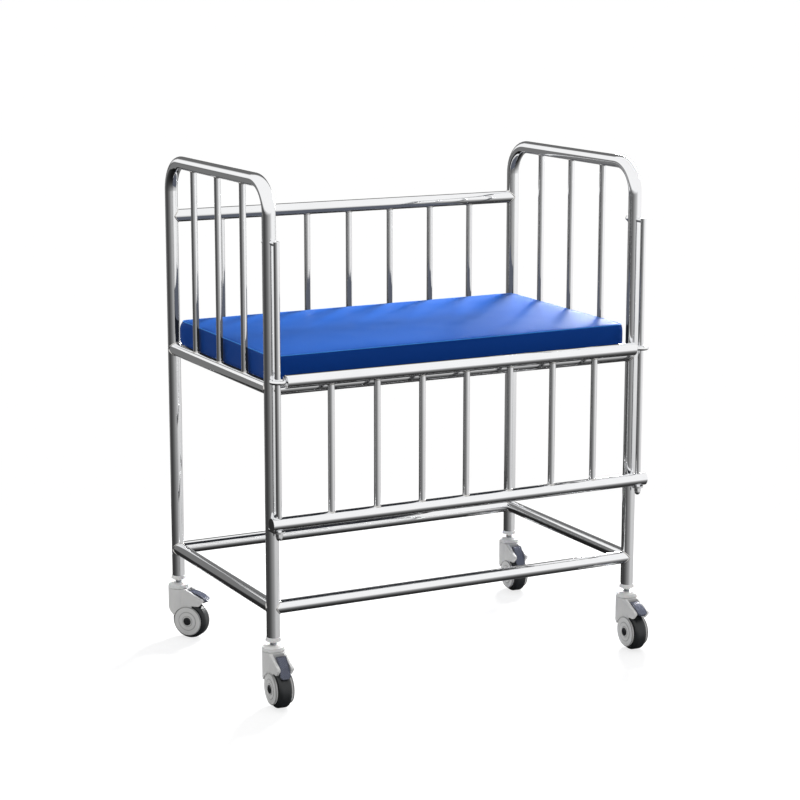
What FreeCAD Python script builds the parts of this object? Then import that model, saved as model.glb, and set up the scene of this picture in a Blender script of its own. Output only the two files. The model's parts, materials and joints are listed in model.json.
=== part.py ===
"""Hospital bassinet: a stainless tube crib with a drop gate and four braked casters.

Millimetres. +X runs along the crib to its right-hand end, +Y from the gate to the back, +Z up.
The origin is on the floor, under the middle of the whole crib's box.
"""
import FreeCAD, Part
import math
import os
import re
import Sketcher

SIZES = [
    # name, value, what it is
    ("tube_d", 25.4, "outer diameter of the hoops and every rail"),
    ("tube_wall", 1.2, "wall of the hoops and every rail"),
    ("slat_d", 12.7, "outer diameter of the upright slats"),
    ("slat_wall", 1.0, "wall of the upright slats"),
    ("weld_land", 1.5, "a saddled tube starts this far from the crossing tube's axis"),
    ("leg_span_x", 788.0, "between the leg axes, along the crib"),
    ("leg_span_y", 478.0, "between the leg axes, front to back"),
    ("hoop_rise", 854.7, "axis of the hoops' top run above the legs' lower ends"),
    ("hoop_bend", 60.0, "bend radius of the hoops, at the tube's axis"),
    ("stretcher_rise", 56.9, "axis of the four lower stretchers above the legs' lower ends"),
    ("frame_rail_rise", 474.7, "axis of the four rails at mattress height above those ends"),
    ("back_rail_drop", 50.6, "back's top rail below the start of the hoops' bends"),
    ("back_pitch", 95.6, "spacing of the back slats"),
    ("back_count", 7, "number of back slats"),
    ("end_pitch", 119.5, "spacing of the slats at each end"),
    ("end_count", 3, "number of slats at each end"),
    ("deck_d", 16.0, "outer diameter of the deck bars under the mattress"),
    ("deck_pitch", 95.6, "spacing of the deck bars"),
    ("deck_count", 4, "number of deck bars"),
    ("mattress_gap", 0.3, "gap between the mattress and the inner faces of the hoops"),
    ("mattress_thick", 50.0, "mattress height"),
    ("mattress_corner", 16.0, "radius of the mattress's upright corners"),
    ("mattress_edge", 5.0, "radius of the mattress's top and bottom edges"),
    ("rest_gap", 0.3, "gap under a piece that rests on another"),
    ("gate_pitch", 95.4, "spacing of the gate slats"),
    ("gate_count", 7, "number of gate slats"),
    ("gate_low_rise", 225.4, "axis of the gate's bottom rail above the legs' lower ends, gate down"),
    ("gate_rise", 266.6, "from the gate's bottom rail up to its top rail"),
    ("gate_overhang", 15.5, "gate's bottom rail past each guide rod, over its end disc"),
    ("cap_thick", 2.0, "end discs of the gate's rails"),
    ("cap_plug", 4.0, "depth of an end disc's plug in the rail"),
    ("rod_d", 11.0, "guide rod diameter"),
    ("rod_above_pin", 5.5, "top of the guide rods above the pins that hold them"),
    ("rod_chamfer", 1.0, "chamfer on the guide rods' tops"),
    ("rod_gap", 0.3, "gap all round a guide rod in the gate's bottom rail"),
    ("eye_ring_d", 25.0, "ring eye diameter, at the bar's axis"),
    ("eye_bar_d", 7.5, "ring eye bar diameter"),
    ("eye_flat", 0.5, "depth of the flat where a ring eye is welded on"),
    ("eye_rise", 1.0, "ring eye above the top rail's axis"),
    ("eye_clear", 3.05, "gap between a ring eye and the leg it passes"),
    ("pin_drop", 49.2, "pins of the rods' upper ends below the start of the hoops' bends"),
    ("pin_d", 9.0, "pin diameter between leg and rod"),
    ("stud_d", 8.0, "thread diameter of the pins' studs and the rods' spigots"),
    ("lug_width", 22.0, "width of the lugs that hold the rods' lower ends"),
    ("lug_thick", 4.0, "thickness of those lugs"),
    ("nut_flats", 13.0, "dome nut across flats"),
    ("nut_hex", 6.5, "height of a dome nut's hexagon"),
    ("nut_dome_d", 12.0, "diameter of a dome nut's dome"),
    ("nut_height", 15.0, "dome nut over its dome"),
    ("nut_thread", 10.0, "depth of thread in a dome nut"),
    ("socket_flange_d", 30.0, "leg socket's flange"),
    ("socket_flange", 6.0, "height of that flange"),
    ("socket_taper", 1.5, "how much the flange narrows towards the leg, on the radius"),
    ("socket_cone", 4.5, "height of the socket's cone under the flange"),
    ("socket_foot_d", 15.0, "lower end of that cone"),
    ("socket_plug", 30.0, "length of socket inside the leg"),
    ("stem_d", 12.0, "caster stem"),
    ("stem_depth", 26.0, "length of stem in the fork"),
    ("stem_above", 27.0, "length of stem inside the leg"),
    ("collar_d", 13.0, "collar between the cap and the socket"),
    ("collar_high", 5.0, "height of that collar"),
    ("cap_d", 43.0, "caster's white cap"),
    ("cap_top_d", 30.0, "flat top of that cap"),
    ("cap_high", 9.5, "height of the cap"),
    ("cap_rim", 6.5, "height of the cap's upright rim"),
    ("cap_band", 3.0, "height of the wider band at the foot of that rim"),
    ("cap_step", 0.8, "how far that band stands out"),
    ("cap_wall", 2.2, "wall of the cap's skirt"),
    ("cap_hub_d", 20.0, "cap's hub on the stem"),
    ("groove", 1.0, "open groove between the cap and the fork"),
    ("bearing_d", 30.0, "swivel bearing"),
    ("bearing_high", 8.0, "height of the swivel bearing in the fork"),
    ("pin_fit", 0.05, "clearance all round a turning pin"),
    ("swivel_gap", 0.2, "clearance round and under the swivel bearing"),
    ("wheel_d", 75.0, "caster wheel"),
    ("trail", 28.0, "from the swivel axis to the axle"),
    ("tyre_width", 26.0, "tyre over its sides"),
    ("tyre_round", 7.0, "rounding of the tyre's shoulders"),
    ("tyre_thick", 9.5, "depth of the tyre on the wheel"),
    ("boss_stand", 1.0, "how far the hub's bosses stand out past the tyre's sides"),
    ("hub_boss_d", 20.0, "hub boss diameter"),
    ("hub_web", 8.0, "thickness of the wheel's web"),
    ("hub_rim", 4.0, "depth of the wheel's rim"),
    ("rim_inset", 1.0, "wheel's rim inside the tyre's sides"),
    ("axle_d", 8.0, "axle"),
    ("axle_head_d", 16.5, "button heads of the axle"),
    ("axle_head", 2.2, "height of a button head"),
    ("axle_crown", 1.0, "rounding drop of a button head's rim"),
    ("hub_play", 0.3, "gap between the hub and each cheek"),
    ("cheek_wall", 2.8, "thickness of each cheek"),
    ("arch_gap", 2.5, "gap between the tyre and the wheel arch"),
    ("fork_neck_d", 43.0, "fork's round neck"),
    ("neck_rise", 19.5, "top of the neck above the pedal's pivot"),
    ("neck_back", 38.5, "depth of the neck at its back"),
    ("fork_cheek_d", 58.0, "round cheeks about the axle"),
    ("throat_x", -1.0, "where the neck's underside meets the cheeks, forward of the swivel"),
    ("throat_rise", 10.5, "height of that throat above the axle"),
    ("wing_tip_reach", 28.0, "fork wing's tip, forward of the pedal's pivot"),
    ("wing_tip_drop", 0.5, "wing's tip below that pivot"),
    ("wing_heel_reach", 13.5, "underside corner of the wing, forward of that pivot"),
    ("wing_heel_drop", 14.5, "that corner below the pivot"),
    ("wing_root", 9.0, "where the wing's underside meets the cheeks, forward of the axle"),
    ("wing_round", 4.0, "rounding of the wing's tip and heel"),
    ("brow_round", 14.0, "rounding where the neck's top runs into the wings"),
    ("fork_edge", 2.5, "rounding of the fork's outer edges"),
    ("neck_bore_end", 2.0, "depth left under the stem in the fork"),
    ("pedal_play", 0.5, "gap between the pedal and each wing"),
    ("pedal_slot_gap", 4.0, "gap behind the pedal to the back wall of its slot"),
    ("cover_thick", 2.0, "side cover"),
    ("cover_d", 61.0, "diameter of the side covers"),
    ("cover_seam", 0.7, "bevel of a side cover's inner rim, beside the fork"),
    ("cover_gap", 0.4, "gap round a side cover in its seat on the neck"),
    ("cover_ridge_d", 38.0, "diameter of the side cover's raised ring"),
    ("cover_ridge_wide", 3.0, "width of that ring"),
    ("cover_ridge_high", 0.6, "height of that ring"),
    ("cover_boss_d", 21.5, "raised boss under the axle's head"),
    ("cover_boss_high", 0.5, "height of that boss"),
    ("cover_edge", 1.0, "bevel of the side cover's rim"),
    ("pedal_ahead", 10.0, "pedal's pivot forward of the axle"),
    ("pedal_rise", 9.0, "pedal's pivot above the wheel"),
    ("pedal_width", 21.0, "pedal at its front"),
    ("pedal_taper", 0.75, "how much narrower the pedal's back is, each side"),
    ("pedal_arc", 60.7, "radius of the pedal's top about the axle, with the pedal up"),
    ("pedal_back_turn", 91.0, "pedal's back end on that arc, degrees from the level"),
    ("pedal_tip_turn", 47.0, "pedal's tip on that arc"),
    ("pedal_thick", 4.0, "pedal's plate"),
    ("pedal_round", 7.0, "rounding of the tip's corners, seen from above"),
    ("web_reach", 12.5, "web from the pedal's pivot up to its plate"),
    ("pedal_boss_d", 9.0, "pedal's boss round its pin"),
    ("pedal_pin_d", 5.5, "pedal's pin"),
    ("pedal_pin_short", 0.2, "how far the pin stops inside the fork's sides, over both"),
    ("shoe_width", 12.0, "brake shoe under the pedal"),
    ("shoe_gap", 0.36, "gap between the tyre and the shoe of a pedal pressed down"),
    ("shoe_thick", 5.0, "thickness of the shoe"),
    ("shoe_lean", 23.9, "shoe's lean from straight down, with the pedal up"),
    ("left_front_trail", -92.5, "heading of the left front caster, degrees from +X"),
    ("right_front_trail", -92.5, "heading of the right front caster"),
    ("left_rear_trail", -49.5, "heading of the left rear caster"),
    ("right_rear_trail", -94.0, "heading of the right rear caster"),
    ("left_front_tilt", 36.0, "left front pedal pressed down"),
    ("right_front_tilt", 0.0, "right front pedal up"),
    ("left_rear_tilt", 0.0, "left rear pedal up"),
    ("right_rear_tilt", 36.0, "right rear pedal pressed down"),
]

FOLLOWING = [
    # name, how it follows from the sizes, what it is
    ("axle_z", "wheel_d / 2", "height of the axles"),
    ("pedal_x", "trail + pedal_ahead", "pedal's pivot, forward of the swivel"),
    ("pedal_z", "wheel_d + pedal_rise", "height of the pedal's pivot"),
    ("fork_top_z", "pedal_z + neck_rise", "top of the fork's neck"),
    ("cap_low_z", "fork_top_z + groove", "lower rim of the casters' caps"),
    ("cap_top_z", "cap_low_z + cap_high", "flat top of the caps"),
    ("socket_low_z", "cap_top_z + collar_high", "lower ends of the leg sockets"),
    ("flange_low_z", "socket_low_z + socket_cone", "underside of their flanges"),
    ("leg_bottom_z", "flange_low_z + socket_flange", "lower ends of the leg tubes"),
    ("hoop_top_z", "leg_bottom_z + hoop_rise", "axis of the hoops' top run"),
    ("stretcher_z", "leg_bottom_z + stretcher_rise", "axis of the four lower stretchers"),
    ("frame_rail_z", "leg_bottom_z + frame_rail_rise", "axis of the four rails at mattress height"),
    ("gate_low_z", "leg_bottom_z + gate_low_rise", "axis of the gate's bottom rail"),
    ("gate_high_z", "gate_low_z + gate_rise", "axis of the gate's top rail"),
    ("back_rail_z", "hoop_top_z - hoop_bend - back_rail_drop", "axis of the back's top rail"),
    ("mattress_length", "leg_span_x - tube_d - 2 * mattress_gap", "mattress along X"),
    ("mattress_width", "leg_span_y - tube_d - 2 * mattress_gap", "mattress along Y"),
    ("rod_offset", "(tube_d + eye_ring_d + eye_bar_d) / 2 + eye_clear", "front leg axes to the rods"),
    ("pin_z", "hoop_top_z - hoop_bend - pin_drop", "axis of the pins that hold the rods' upper ends"),
    ("rod_top_z", "pin_z + rod_above_pin", "top of the guide rods"),
    ("rod_seat_z", "gate_low_z - tube_d / 2 - rest_gap", "top of the lugs, which the rods stand on"),
    ("gate_low_length", "leg_span_x + 2 * gate_overhang", "gate's bottom rail over its end discs"),
    ("gate_high_length", "leg_span_x - eye_ring_d - eye_bar_d + 2 * eye_flat", "gate's top rail"),
    ("fork_back_z", "fork_top_z - neck_back", "lower back of the neck"),
    ("throat_z", "axle_z + throat_rise", "where the neck's underside meets the cheeks"),
    ("wing_tip_x", "pedal_x + wing_tip_reach", "fork wing's tip, forward of the swivel"),
    ("wing_tip_z", "pedal_z - wing_tip_drop", "height of the wing's tip"),
    ("wing_heel_x", "pedal_x + wing_heel_reach", "underside corner of the wing, forward of the swivel"),
    ("wing_heel_z", "pedal_z - wing_heel_drop", "height of that corner"),
    ("tyre_bore", "wheel_d - 2 * tyre_thick", "tyre's seat on the wheel"),
    ("hub_length", "tyre_width + 2 * boss_stand", "wheel's hub over its bosses"),
    ("hub_rim_width", "tyre_width - 2 * rim_inset", "width of the wheel's rim"),
    ("fork_slot", "hub_length + 2 * hub_play", "slot for the wheel between the cheeks"),
    ("fork_width", "fork_slot + 2 * cheek_wall", "fork over its cheeks"),
    ("fork_slot_d", "wheel_d + 2 * arch_gap", "wheel arch diameter"),
    ("head_seat", "fork_width / 2 + cover_thick + cover_boss_high", "axle's head from the wheel's middle"),
    ("axle_reach", "head_seat + axle_head", "outer face of that head from the wheel's middle"),
    ("pedal_slot", "pedal_width + 2 * pedal_play", "slot for the pedal between the wings"),
    ("pedal_back_x", "pedal_ahead - pedal_arc * cos(pedal_back_turn)", "pedal behind its pivot"),
    ("pedal_front_x", "pedal_arc * cos(pedal_tip_turn) - pedal_ahead", "pedal in front of its pivot"),
    ("pedal_slot_x", "pedal_x - pedal_back_x - pedal_slot_gap", "back wall of that slot"),
    ("pedal_to_axle", "sqrt(pedal_ahead ^ 2 + (pedal_z - axle_z) ^ 2)", "from the pedal's pivot to the axle"),
    ("shoe_reach", "pedal_to_axle - axle_z - shoe_gap", "from the pedal's pivot to the shoe's face"),
    ("stem_low_z", "fork_top_z - stem_depth", "bottom of the stems, in the forks"),
    ("pedal_end", "(pedal_x + pedal_front_x) * sin(-right_front_trail)", "right front pedal's tip"),
    ("pedal_side", "(pedal_width / 2 - pedal_round) * abs(cos(right_front_trail))", "and its corner"),
    ("frame_y", "(pedal_end + pedal_side - cap_d / 2) / 2", "middle of the legs behind the origin"),
    ("head_flat", "axle_head_d / 2 - 2 * axle_crown", "radius of the flat on an axle's head"),
    ("head_end", "axle_reach * sin(-left_front_trail)", "left front axle's end, past the legs"),
    ("head_side", "(trail + head_flat) * cos(left_front_trail)", "and that flat's edge beside its middle"),
    ("frame_x", "(head_end - head_side - cap_d / 2) / 2", "middle of the legs right of the origin"),
]

doc = FreeCAD.newDocument("hospital_bassinet")
sheet = doc.addObject("Spreadsheet::Sheet", "Sizes")
for row, (alias, number, note) in enumerate(SIZES + FOLLOWING, start=1):
    sheet.setAlias(f"B{row}", alias)
    sheet.set(f"A{row}", note)
for row, (alias, number, note) in enumerate(SIZES + FOLLOWING, start=1):
    sheet.set(f"B{row}", f"={number}")
doc.recompute()
ALIASES = {alias for alias, number, note in SIZES + FOLLOWING}
NODES = []


# ---- helpers: formulas name the sheet's sizes, and every size is bound to them ----

def formula(text):
    """The text with each size's name written as a reference to the sheet."""
    return re.sub(r"[a-z_0-9]+", lambda word: "Sizes." * (word[0] in ALIASES) + word[0], str(text))


def value(text):
    """What a formula gives now."""
    result = sheet.evalExpression(formula(text))
    return float(getattr(result, "Value", result))


def bind(item, name, text):
    """Bind one property of an object to a formula."""
    item.setExpression(name, formula(text))


def negative(text):
    return f"-({text})"


def origin_feature(body, role):
    """A body's own origin plane or axis."""
    return next(item for item in body.Origin.OriginFeatures if item.Role == role)


def new_body(name):
    body = doc.addObject("PartDesign::Body", name)
    body.AllowCompound = True
    NODES.append(body)
    return body


def new_sketch(body, name, plane, lift=None):
    """A sketch on one of the body's origin planes, or lifted off it by a formula."""
    sketch = body.newObject("Sketcher::SketchObject", f"{body.Label}_{name}")
    sketch.AttachmentSupport = [(origin_feature(body, plane), "")]
    sketch.MapMode = "FlatFace"
    if lift is not None:
        bind(sketch, "AttachmentOffset.Base.z", lift)
    return sketch


def pin_point(sketch, index, point, across, up):
    """Hold one point of a sketch's geometry at two formulas."""
    for kind, text in (("DistanceX", across), ("DistanceY", up)):
        place = value(text)
        number = sketch.addConstraint(Sketcher.Constraint(kind, index, point, place))
        bind(sketch, f"Constraints[{number}]", text)


def circle(sketch, across, up, diameter):
    """A circle whose centre and diameter are formulas."""
    middle = FreeCAD.Vector(value(across), value(up), 0)
    index = sketch.addGeometry(Part.Circle(middle, FreeCAD.Vector(0, 0, 1), value(diameter) / 2))
    pin_point(sketch, index, 3, across, up)
    number = sketch.addConstraint(Sketcher.Constraint("Diameter", index, value(diameter)))
    bind(sketch, f"Constraints[{number}]", diameter)
    return index


def outline(sketch, corners):
    """A closed outline of straight lines between corners given as formulas."""
    places = [FreeCAD.Vector(value(across), value(up), 0) for across, up in corners]
    first = sketch.GeometryCount
    last = first + len(corners) - 1
    for start, end in zip(places, places[1:] + places[:1]):
        sketch.addGeometry(Part.LineSegment(start, end))
    for index, (across, up) in enumerate(corners, start=first):
        pin_point(sketch, index, 1, across, up)
        following = first if index == last else index + 1
        sketch.addConstraint(Sketcher.Constraint("Coincident", index, 2, following, 1))


def pad(body, sketch, length, midplane=False, backward=False):
    feature = body.newObject("PartDesign::Pad", f"{sketch.Label}_pad")
    feature.Profile = sketch
    feature.Midplane = midplane
    feature.Reversed = backward
    bind(feature, "Length", length)
    doc.recompute()
    return feature


def pocket(body, sketch, length=None, both_ways=False, along_normal=False):
    """Cut a sketch out of the body: through all, or to a length against or along its normal or both ways."""
    before = body.Shape.Volume
    feature = body.newObject("PartDesign::Pocket", f"{sketch.Label}_cut")
    feature.Profile = sketch
    if length is None:
        feature.Type = "ThroughAll"
    else:
        bind(feature, "Length", length)
    feature.Midplane = both_ways or length is None
    feature.Reversed = along_normal
    doc.recompute()
    if not body.Shape.Volume < before:
        raise RuntimeError(f"{feature.Label} cuts nothing")
    return feature


def revolve(body, sketch, axis="V_Axis"):
    feature = body.newObject("PartDesign::Revolution", f"{sketch.Label}_turned")
    feature.Profile = sketch
    feature.ReferenceAxis = (sketch, [axis])
    feature.Angle = 360
    doc.recompute()
    return feature


def edge_names(body, wanted):
    """Names of the body's edges that pass a test."""
    return [f"Edge{number}" for number, edge in enumerate(body.Shape.Edges, start=1) if wanted(edge)]


def fillet(body, wanted, radius):
    feature = body.newObject("PartDesign::Fillet", f"{body.Label}_round")
    edges = edge_names(body, wanted)
    feature.Base = (body.Tip if feature.BaseFeature is None else feature.BaseFeature, edges)
    bind(feature, "Radius", radius)
    doc.recompute()
    return feature


def pattern(body, features, axis, count, length, second=None):
    """Repeat features along one of the body's axes, and along a second axis if given."""
    feature = body.newObject("PartDesign::LinearPattern", f"{body.Label}_row")
    feature.Originals = features
    feature.Direction = (origin_feature(body, axis), [""])
    bind(feature, "Length", length)
    bind(feature, "Occurrences", count)
    if second is not None:
        feature.Direction2 = (origin_feature(body, second[0]), [""])
        bind(feature, "Occurrences2", second[1])
        bind(feature, "Length2", second[2])
    body.Tip = feature
    doc.recompute()
    return feature


def mirror(body, features, plane):
    feature = body.newObject("PartDesign::Mirrored", f"{body.Label}_mirror")
    feature.Originals = features
    feature.MirrorPlane = (origin_feature(body, plane), [""])
    body.Tip = feature
    doc.recompute()
    return feature


def place(body, across="0", back="0", up="0", turn=None):
    """Put a body at formulas measured from the middle of the legs, on the floor."""
    if turn is not None:
        body.Placement = FreeCAD.Placement(FreeCAD.Vector(), turn)
    bind(body, "Placement.Base.x", f"frame_x + {across}")
    bind(body, "Placement.Base.y", f"frame_y + {back}")
    bind(body, "Placement.Base.z", up)


ALONG_Y = FreeCAD.Rotation(FreeCAD.Vector(0, 0, 1), 90)
BARS_ALONG_X = FreeCAD.Rotation(FreeCAD.Vector(1, 1, 1), 120)
NUT_TO_BACK = FreeCAD.Rotation(FreeCAD.Vector(1, 0, 0), -90)
NUT_DOWN = FreeCAD.Rotation(FreeCAD.Vector(1, 0, 0), 180)
TUBE_BORE = "tube_d - 2 * tube_wall"
END_X = {"left": "-leg_span_x / 2", "right": "leg_span_x / 2"}
LEG_Y = {"front": "-leg_span_y / 2", "back": "leg_span_y / 2"}
ROD_Y = "(-leg_span_y / 2 - rod_offset)"


# ---- the tube frame ----

def end_hoop(side):
    """One end of the crib: two legs and the top run, one tube bent twice."""
    body = new_body(f"{side}_end_hoop")
    run = value("leg_span_y") / 2
    rise = value("hoop_top_z - leg_bottom_z")
    bend = value("hoop_bend")
    up = FreeCAD.Vector(0, 0, 1)
    path = new_sketch(body, "path", "YZ_Plane")
    quarter = math.pi / 2
    front = path.addGeometry(Part.LineSegment(FreeCAD.Vector(-run, 0), FreeCAD.Vector(-run, rise - bend)))
    front_bend = Part.Circle(FreeCAD.Vector(bend - run, rise - bend), up, bend)
    corner = path.addGeometry(Part.ArcOfCircle(front_bend, quarter, 2 * quarter))
    top_line = Part.LineSegment(FreeCAD.Vector(bend - run, rise), FreeCAD.Vector(run - bend, rise))
    top = path.addGeometry(top_line)
    back_bend = Part.Circle(FreeCAD.Vector(run - bend, rise - bend), up, bend)
    far_corner = path.addGeometry(Part.ArcOfCircle(back_bend, 0, quarter))
    back = path.addGeometry(Part.LineSegment(FreeCAD.Vector(run, rise - bend), FreeCAD.Vector(run, 0)))
    for first, first_end, second, second_end in ((front, 2, corner, 2), (corner, 1, top, 1),
                                                 (top, 2, far_corner, 2), (far_corner, 1, back, 1)):
        path.addConstraint(Sketcher.Constraint("Tangent", first, first_end, second, second_end))
    for arc in (corner, far_corner):
        number = path.addConstraint(Sketcher.Constraint("Radius", arc, bend))
        bind(path, f"Constraints[{number}]", "hoop_bend")
    pin_point(path, front, 1, "-leg_span_y / 2", "0")
    pin_point(path, back, 2, "leg_span_y / 2", "0")
    number = path.addConstraint(Sketcher.Constraint("DistanceY", top, 1, rise))
    bind(path, f"Constraints[{number}]", "hoop_top_z - leg_bottom_z")

    ring = new_sketch(body, "section", "XY_Plane")
    circle(ring, "0", "-leg_span_y / 2", "tube_d")
    circle(ring, "0", "-leg_span_y / 2", TUBE_BORE)
    tube = body.newObject("PartDesign::AdditivePipe", f"{side}_end_hoop_tube")
    tube.Profile = ring
    tube.Spine = (path, [])
    doc.recompute()

    stud_hole = new_sketch(body, "stud_hole", "XZ_Plane")
    circle(stud_hole, "0", "pin_z - leg_bottom_z", "stud_d")
    pocket(body, stud_hole, length="leg_span_y", along_normal=True)
    place(body, across=END_X[side], up="leg_bottom_z")


def saddled_rail(name, span, coped=None, turn=None, **where):
    """A rail along its own X, saddled onto two legs and coped over the rails that meet them inside."""
    body = new_body(name)
    ring = new_sketch(body, "section", "YZ_Plane")
    circle(ring, "0", "0", "tube_d")
    circle(ring, "0", "0", TUBE_BORE)
    pad(body, ring, f"{span} - 2 * weld_land", midplane=True)
    legs = new_sketch(body, "saddles", "XY_Plane")
    circle(legs, f"-{span} / 2", "0", "tube_d")
    circle(legs, f"{span} / 2", "0", "tube_d")
    pocket(body, legs)
    if coped is not None:
        rails = new_sketch(body, "copes", "XZ_Plane")
        circle(rails, f"-{span} / 2", "0", "tube_d")
        circle(rails, f"{span} / 2", "0", "tube_d")
        pocket(body, rails, length="tube_d", along_normal=coped == "left")
    place(body, turn=turn, **where)


def bar_row(name, count, pitch, rise, diameter, wall, turn=None, **where):
    """A row of bars along its own Z, saddled between two rails that run along its own X."""
    body = new_body(name)
    ring = new_sketch(body, "section", "XY_Plane")
    first = f"-{pitch} * ({count} - 1) / 2"
    circle(ring, first, "0", diameter)
    circle(ring, first, "0", f"{diameter} - 2 * {wall}")
    bar = pad(body, ring, rise)
    rails = new_sketch(body, "saddles", "YZ_Plane")
    circle(rails, "0", "0", "tube_d")
    circle(rails, "0", rise, "tube_d")
    saddles = pocket(body, rails)
    pattern(body, [bar, saddles], "X_Axis", count, f"{pitch} * ({count} - 1)")
    place(body, turn=turn, **where)


def frame():
    """Hoops, stretchers, rails, slats and deck bars, all welded together."""
    for side in ("left", "right"):
        end_hoop(side)
        for kind, height in (("end_rail", "frame_rail_z"), ("lower_stretcher", "stretcher_z")):
            saddled_rail(f"{side}_{kind}", "leg_span_y", coped=side, turn=ALONG_Y,
                         across=END_X[side], up=height)
        bar_row(f"{side}_end_slats", "end_count", "end_pitch", "(hoop_top_z - frame_rail_z)",
                "slat_d", "slat_wall", turn=ALONG_Y, across=END_X[side], up="frame_rail_z")
    for face in ("front", "back"):
        saddled_rail(f"{face}_frame_rail", "leg_span_x", back=LEG_Y[face], up="frame_rail_z")
        saddled_rail(f"{face}_lower_stretcher", "leg_span_x", back=LEG_Y[face], up="stretcher_z")
    saddled_rail("back_top_rail", "leg_span_x", back=LEG_Y["back"], up="back_rail_z")
    bar_row("back_slats", "back_count", "back_pitch", "(back_rail_z - frame_rail_z)",
            "slat_d", "slat_wall", back=LEG_Y["back"], up="frame_rail_z")
    bar_row("deck_bars", "deck_count", "deck_pitch", "leg_span_x",
            "deck_d", "tube_wall", turn=BARS_ALONG_X, across=END_X["left"], up="frame_rail_z")


# ---- the mattress ----

def mattress():
    """A flat pad lying on the deck bars, inside the rails."""
    body = new_body("mattress")
    sketch = new_sketch(body, "outline", "XY_Plane")
    half_length = "mattress_length / 2"
    half_width = "mattress_width / 2"
    outline(sketch, [(negative(half_length), negative(half_width)), (half_length, negative(half_width)),
                     (half_length, half_width), (negative(half_length), half_width)])
    pad(body, sketch, "mattress_thick")
    fillet(body, lambda edge: edge.BoundBox.ZLength > value("mattress_thick") / 2, "mattress_corner")
    fillet(body, lambda edge: edge.BoundBox.ZLength < value("mattress_thick") / 2, "mattress_edge")
    place(body, up="frame_rail_z + deck_d / 2 + rest_gap")


# ---- what the gate slides on ----

def guide_rods():
    """Two upright rods: a chamfered top and a thinner spigot through the lug below."""
    for side in ("left", "right"):
        body = new_body(f"{side}_guide_rod")
        sketch = new_sketch(body, "half_section", "XZ_Plane")
        spigot_end = "-lug_thick - nut_thread + rest_gap"
        top = "rod_top_z - rod_seat_z"
        outline(sketch, [("0", spigot_end), ("stud_d / 2", spigot_end), ("stud_d / 2", "0"),
                         ("rod_d / 2", "0"), ("rod_d / 2", f"{top} - rod_chamfer"),
                         ("rod_d / 2 - rod_chamfer", top), ("0", top)])
        revolve(body, sketch)
        place(body, across=END_X[side], back=ROD_Y, up="rod_seat_z")


def rod_pins():
    """A pin from each rod to its leg, with a stud on through the leg."""
    body = new_body("rod_pins")
    pin = new_sketch(body, "pin", "XZ_Plane")
    circle(pin, "0", "0", "pin_d")
    features = [pad(body, pin, "rod_offset", backward=True)]
    leg = new_sketch(body, "leg_saddle", "XY_Plane")
    circle(leg, "0", "rod_offset", "tube_d")
    features.append(pocket(body, leg))
    stud = new_sketch(body, "stud", "XZ_Plane")
    circle(stud, "0", "0", "stud_d")
    features.append(pad(body, stud, "rod_offset + tube_d / 2 + nut_thread - rest_gap", backward=True))
    rod = new_sketch(body, "rod_saddle", "XY_Plane")
    circle(rod, "0", "0", "rod_d")
    features.append(pocket(body, rod))
    pattern(body, features, "X_Axis", "2", "leg_span_x")
    place(body, across=END_X["left"], back=ROD_Y, up="pin_z")


def rod_lugs():
    """A round-nosed plate at each front leg that carries its rod's lower end."""
    body = new_body("rod_lugs")
    nose = new_sketch(body, "nose", "XY_Plane")
    circle(nose, "0", "0", "lug_width")
    plate = new_sketch(body, "plate", "XY_Plane")
    outline(plate, [("-lug_width / 2", "0"), ("lug_width / 2", "0"),
                    ("lug_width / 2", "rod_offset"), ("-lug_width / 2", "rod_offset")])
    features = [pad(body, nose, "lug_thick"), pad(body, plate, "lug_thick")]
    leg = new_sketch(body, "leg_saddle", "XY_Plane")
    circle(leg, "0", "rod_offset", "tube_d")
    circle(leg, "0", "0", "stud_d")
    features.append(pocket(body, leg))
    pattern(body, features, "X_Axis", "2", "leg_span_x")
    place(body, across=END_X["left"], back=ROD_Y, up="rod_seat_z - lug_thick")


def dome_nuts(name, turn, **where):
    """Two dome nuts along their own Z, one at each end of the crib."""
    body = new_body(name)
    hexagon = new_sketch(body, "hexagon", "XY_Plane")
    corner = "nut_flats / 2 / cos(30)"
    outline(hexagon, [(f"{corner} * cos({60 * step})", f"{corner} * sin({60 * step})") for step in range(6)])
    features = [pad(body, hexagon, "nut_hex")]
    dome = new_sketch(body, "dome", "XZ_Plane")
    outline(dome, [("0", "nut_hex / 2"), ("nut_dome_d / 2", "nut_hex / 2"),
                   ("nut_dome_d / 2", "nut_height - nut_dome_d / 2"),
                   ("nut_dome_d / 2 * cos(30)", "nut_height - nut_dome_d / 2 + nut_dome_d / 2 * sin(30)"),
                   ("nut_dome_d / 2 * cos(60)", "nut_height - nut_dome_d / 2 + nut_dome_d / 2 * sin(60)"),
                   ("0", "nut_height")])
    features.append(revolve(body, dome))
    thread = new_sketch(body, "thread", "XY_Plane")
    circle(thread, "0", "0", "stud_d")
    features.append(pocket(body, thread, length="nut_thread", along_normal=True))
    pattern(body, features, "X_Axis", "2", "leg_span_x")
    place(body, turn=turn, across=END_X["left"], **where)


# ---- the drop gate ----

def gate_rail(name, length, height, rod_holes=False):
    """A straight rail, short of its end discs, with holes for the rods if it slides on them."""
    body = new_body(name)
    ring = new_sketch(body, "section", "YZ_Plane")
    circle(ring, "0", "0", "tube_d")
    circle(ring, "0", "0", TUBE_BORE)
    pad(body, ring, f"{length} - 2 * cap_thick", midplane=True)
    if rod_holes:
        holes = new_sketch(body, "rod_holes", "XY_Plane")
        for side in ("left", "right"):
            circle(holes, END_X[side], "0", "rod_d + 2 * rod_gap")
        pocket(body, holes)
    place(body, back=ROD_Y, up=height)


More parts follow.
